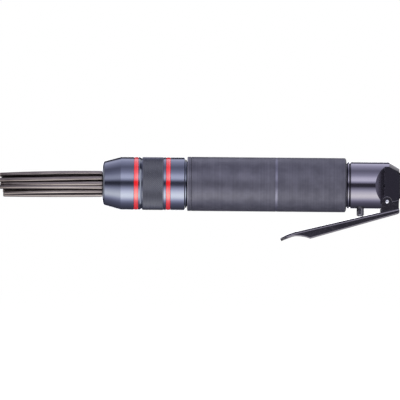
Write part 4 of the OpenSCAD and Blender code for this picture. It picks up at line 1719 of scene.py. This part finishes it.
    def tones(self, tree: Tree) -> dict:
        """Builds the tones of the tube: by the angle round the tool's axis, and fading past its ends."""
        split = add_node(tree, "SeparateXYZ", {"Vector": add_node(tree, "TexCoord").outputs["Object"]})
        x, y, z = split.outputs
        front = add_node(tree, "Math", [y, -1.0], operation="MULTIPLY")
        angle = add_node(tree, "Math", [z, front], operation="ARCTAN2")
        share = add_node(tree, "MapRange", [angle, -math.pi, math.pi, 0.0, 1.0])
        ramp = add_node(tree, "ValToRGB", [share])
        stops = ramp.color_ramp.elements
        brightest = max(level for _, level in self.tone_stops)
        while len(stops) < len(self.tone_stops):
            stops.new(0.5)
        for stop, (degrees, level) in zip(stops, self.tone_stops):
            stop.position = degrees / 360 + 0.5
            tone = level / brightest
            # The lower lamp is warm, the dark behind the camera bluish
            warmth = min(level / self.warm_level, 1)
            stop.color = (tone, tone, tone * (self.cool - self.warm * warmth), 1)
        # The lamps reach less far past both ends of the tool
        left = add_node(tree, "MapRange", [x, *self.left_fade, self.end_levels[0], 1.0])
        right = add_node(tree, "MapRange", [x, *self.right_fade, brightest, self.end_levels[1]])
        reach = add_node(tree, "Math", [left, right], operation="MULTIPLY")
        # The upper lamp hangs nearer to the head
        above = add_node(tree, "Math", [angle, 0.0], operation="GREATER_THAN")
        nearer = add_node(tree, "MapRange", [x, *self.upper_gain, 0.0, self.upper_rise])
        gain = add_node(tree, "Math", [above, nearer, 1.0], operation="MULTIPLY_ADD")
        power = add_node(tree, "Math", [reach, gain], operation="MULTIPLY")
        return {"Color": ramp, "Strength": power}

    def build_surround(self) -> None:
        """Hangs a long tube of soft tones round the tool, as its lamps and its room would look."""
        tube = self.open_tube("tone_tube", self.tube_places, self.tube_radius)
        # Open above and behind the inlet, where the white room shows
        open_piece(tube)
        pick_faces(tube, lambda spot: spot.x > self.tube_places[1] and self.angle_of(spot) > self.open_angle)
        bpy.ops.mesh.delete(type="FACE")
        close_piece()
        self.hang(tube, self.tones)

    def build_glow(self) -> None:
        """Hangs part of an evenly bright tube past the inlet."""
        tube = self.open_tube("rear_glow", self.glow_ends, self.glow_radius)
        low, high = self.glow_angles
        open_piece(tube)
        pick_verts(tube, lambda spot: not low < self.angle_of(spot) < high)
        bpy.ops.mesh.delete(type="VERT")
        close_piece()
        self.hang(tube, lambda tree: {"Strength": self.glow_level})

    def build_flag(self, name: str, place: Spot, size: float, axis: Axis, level: float) -> None:
        """Hangs a dark square flag.

        Args:
            name: Name of the flag.
            place: Its middle.
            size: Length of a side.
            axis: Axis that it is turned about, by a right angle, from lying flat.
            level: How bright it is.
        """
        deselect()
        bpy.ops.mesh.primitive_plane_add(size=size, enter_editmode=True)
        flag = bpy.context.object
        flag.name = name
        bpy.ops.transform.rotate(value=math.pi / 2, orient_axis=axis.name, center_override=ORIGIN)
        bpy.ops.transform.translate(value=place)
        close_piece()
        self.hang(flag, lambda tree: {"Color": linear(self.flag_colour), "Strength": level})

    def build_lamp(self, name: str, place: Spot, power: float, size: float) -> None:
        """Hangs one square soft lamp that points at the tool's middle.

        Args:
            name: Name of the lamp.
            place: Where it hangs.
            power: Power in watts.
            size: Length of a side.
        """
        lamp = bpy.data.lights.new(name, "AREA")
        lamp.energy = power
        lamp.size = size
        holder = bpy.data.objects.new(name, lamp)
        holder.location = place
        aim = Vector((self.middle_x, 0, 0)) - Vector(place)
        holder.rotation_euler = aim.to_track_quat("-Z", "Y").to_euler()
        holder.visible_glossy = False
        bpy.context.scene.collection.objects.link(holder)

    def build(self) -> None:
        """Builds the whole studio."""
        bpy.context.scene.view_settings.view_transform = "Standard"
        self.build_camera()
        self.build_world()
        self.build_floor()
        self.build_surround()
        self.build_glow()
        for flag in self.flags:
            self.build_flag(*flag)
        for lamp in self.lamps:
            self.build_lamp(*lamp)
        LOG.info("studio ready")


def main() -> None:
    """Builds the tool's sub-assemblies in order, then the studio."""
    logging.basicConfig(level=logging.INFO, format="%(message)s")
    shop = Paintshop()
    for kind in (Nose, NeedleBundle, Grip, Head, Springs, Throttle, InnerWorks):
        LOG.info("building %s", kind.__name__)
        kind(shop).build()
    Studio().build()


if __name__ == "__main__":
    main()
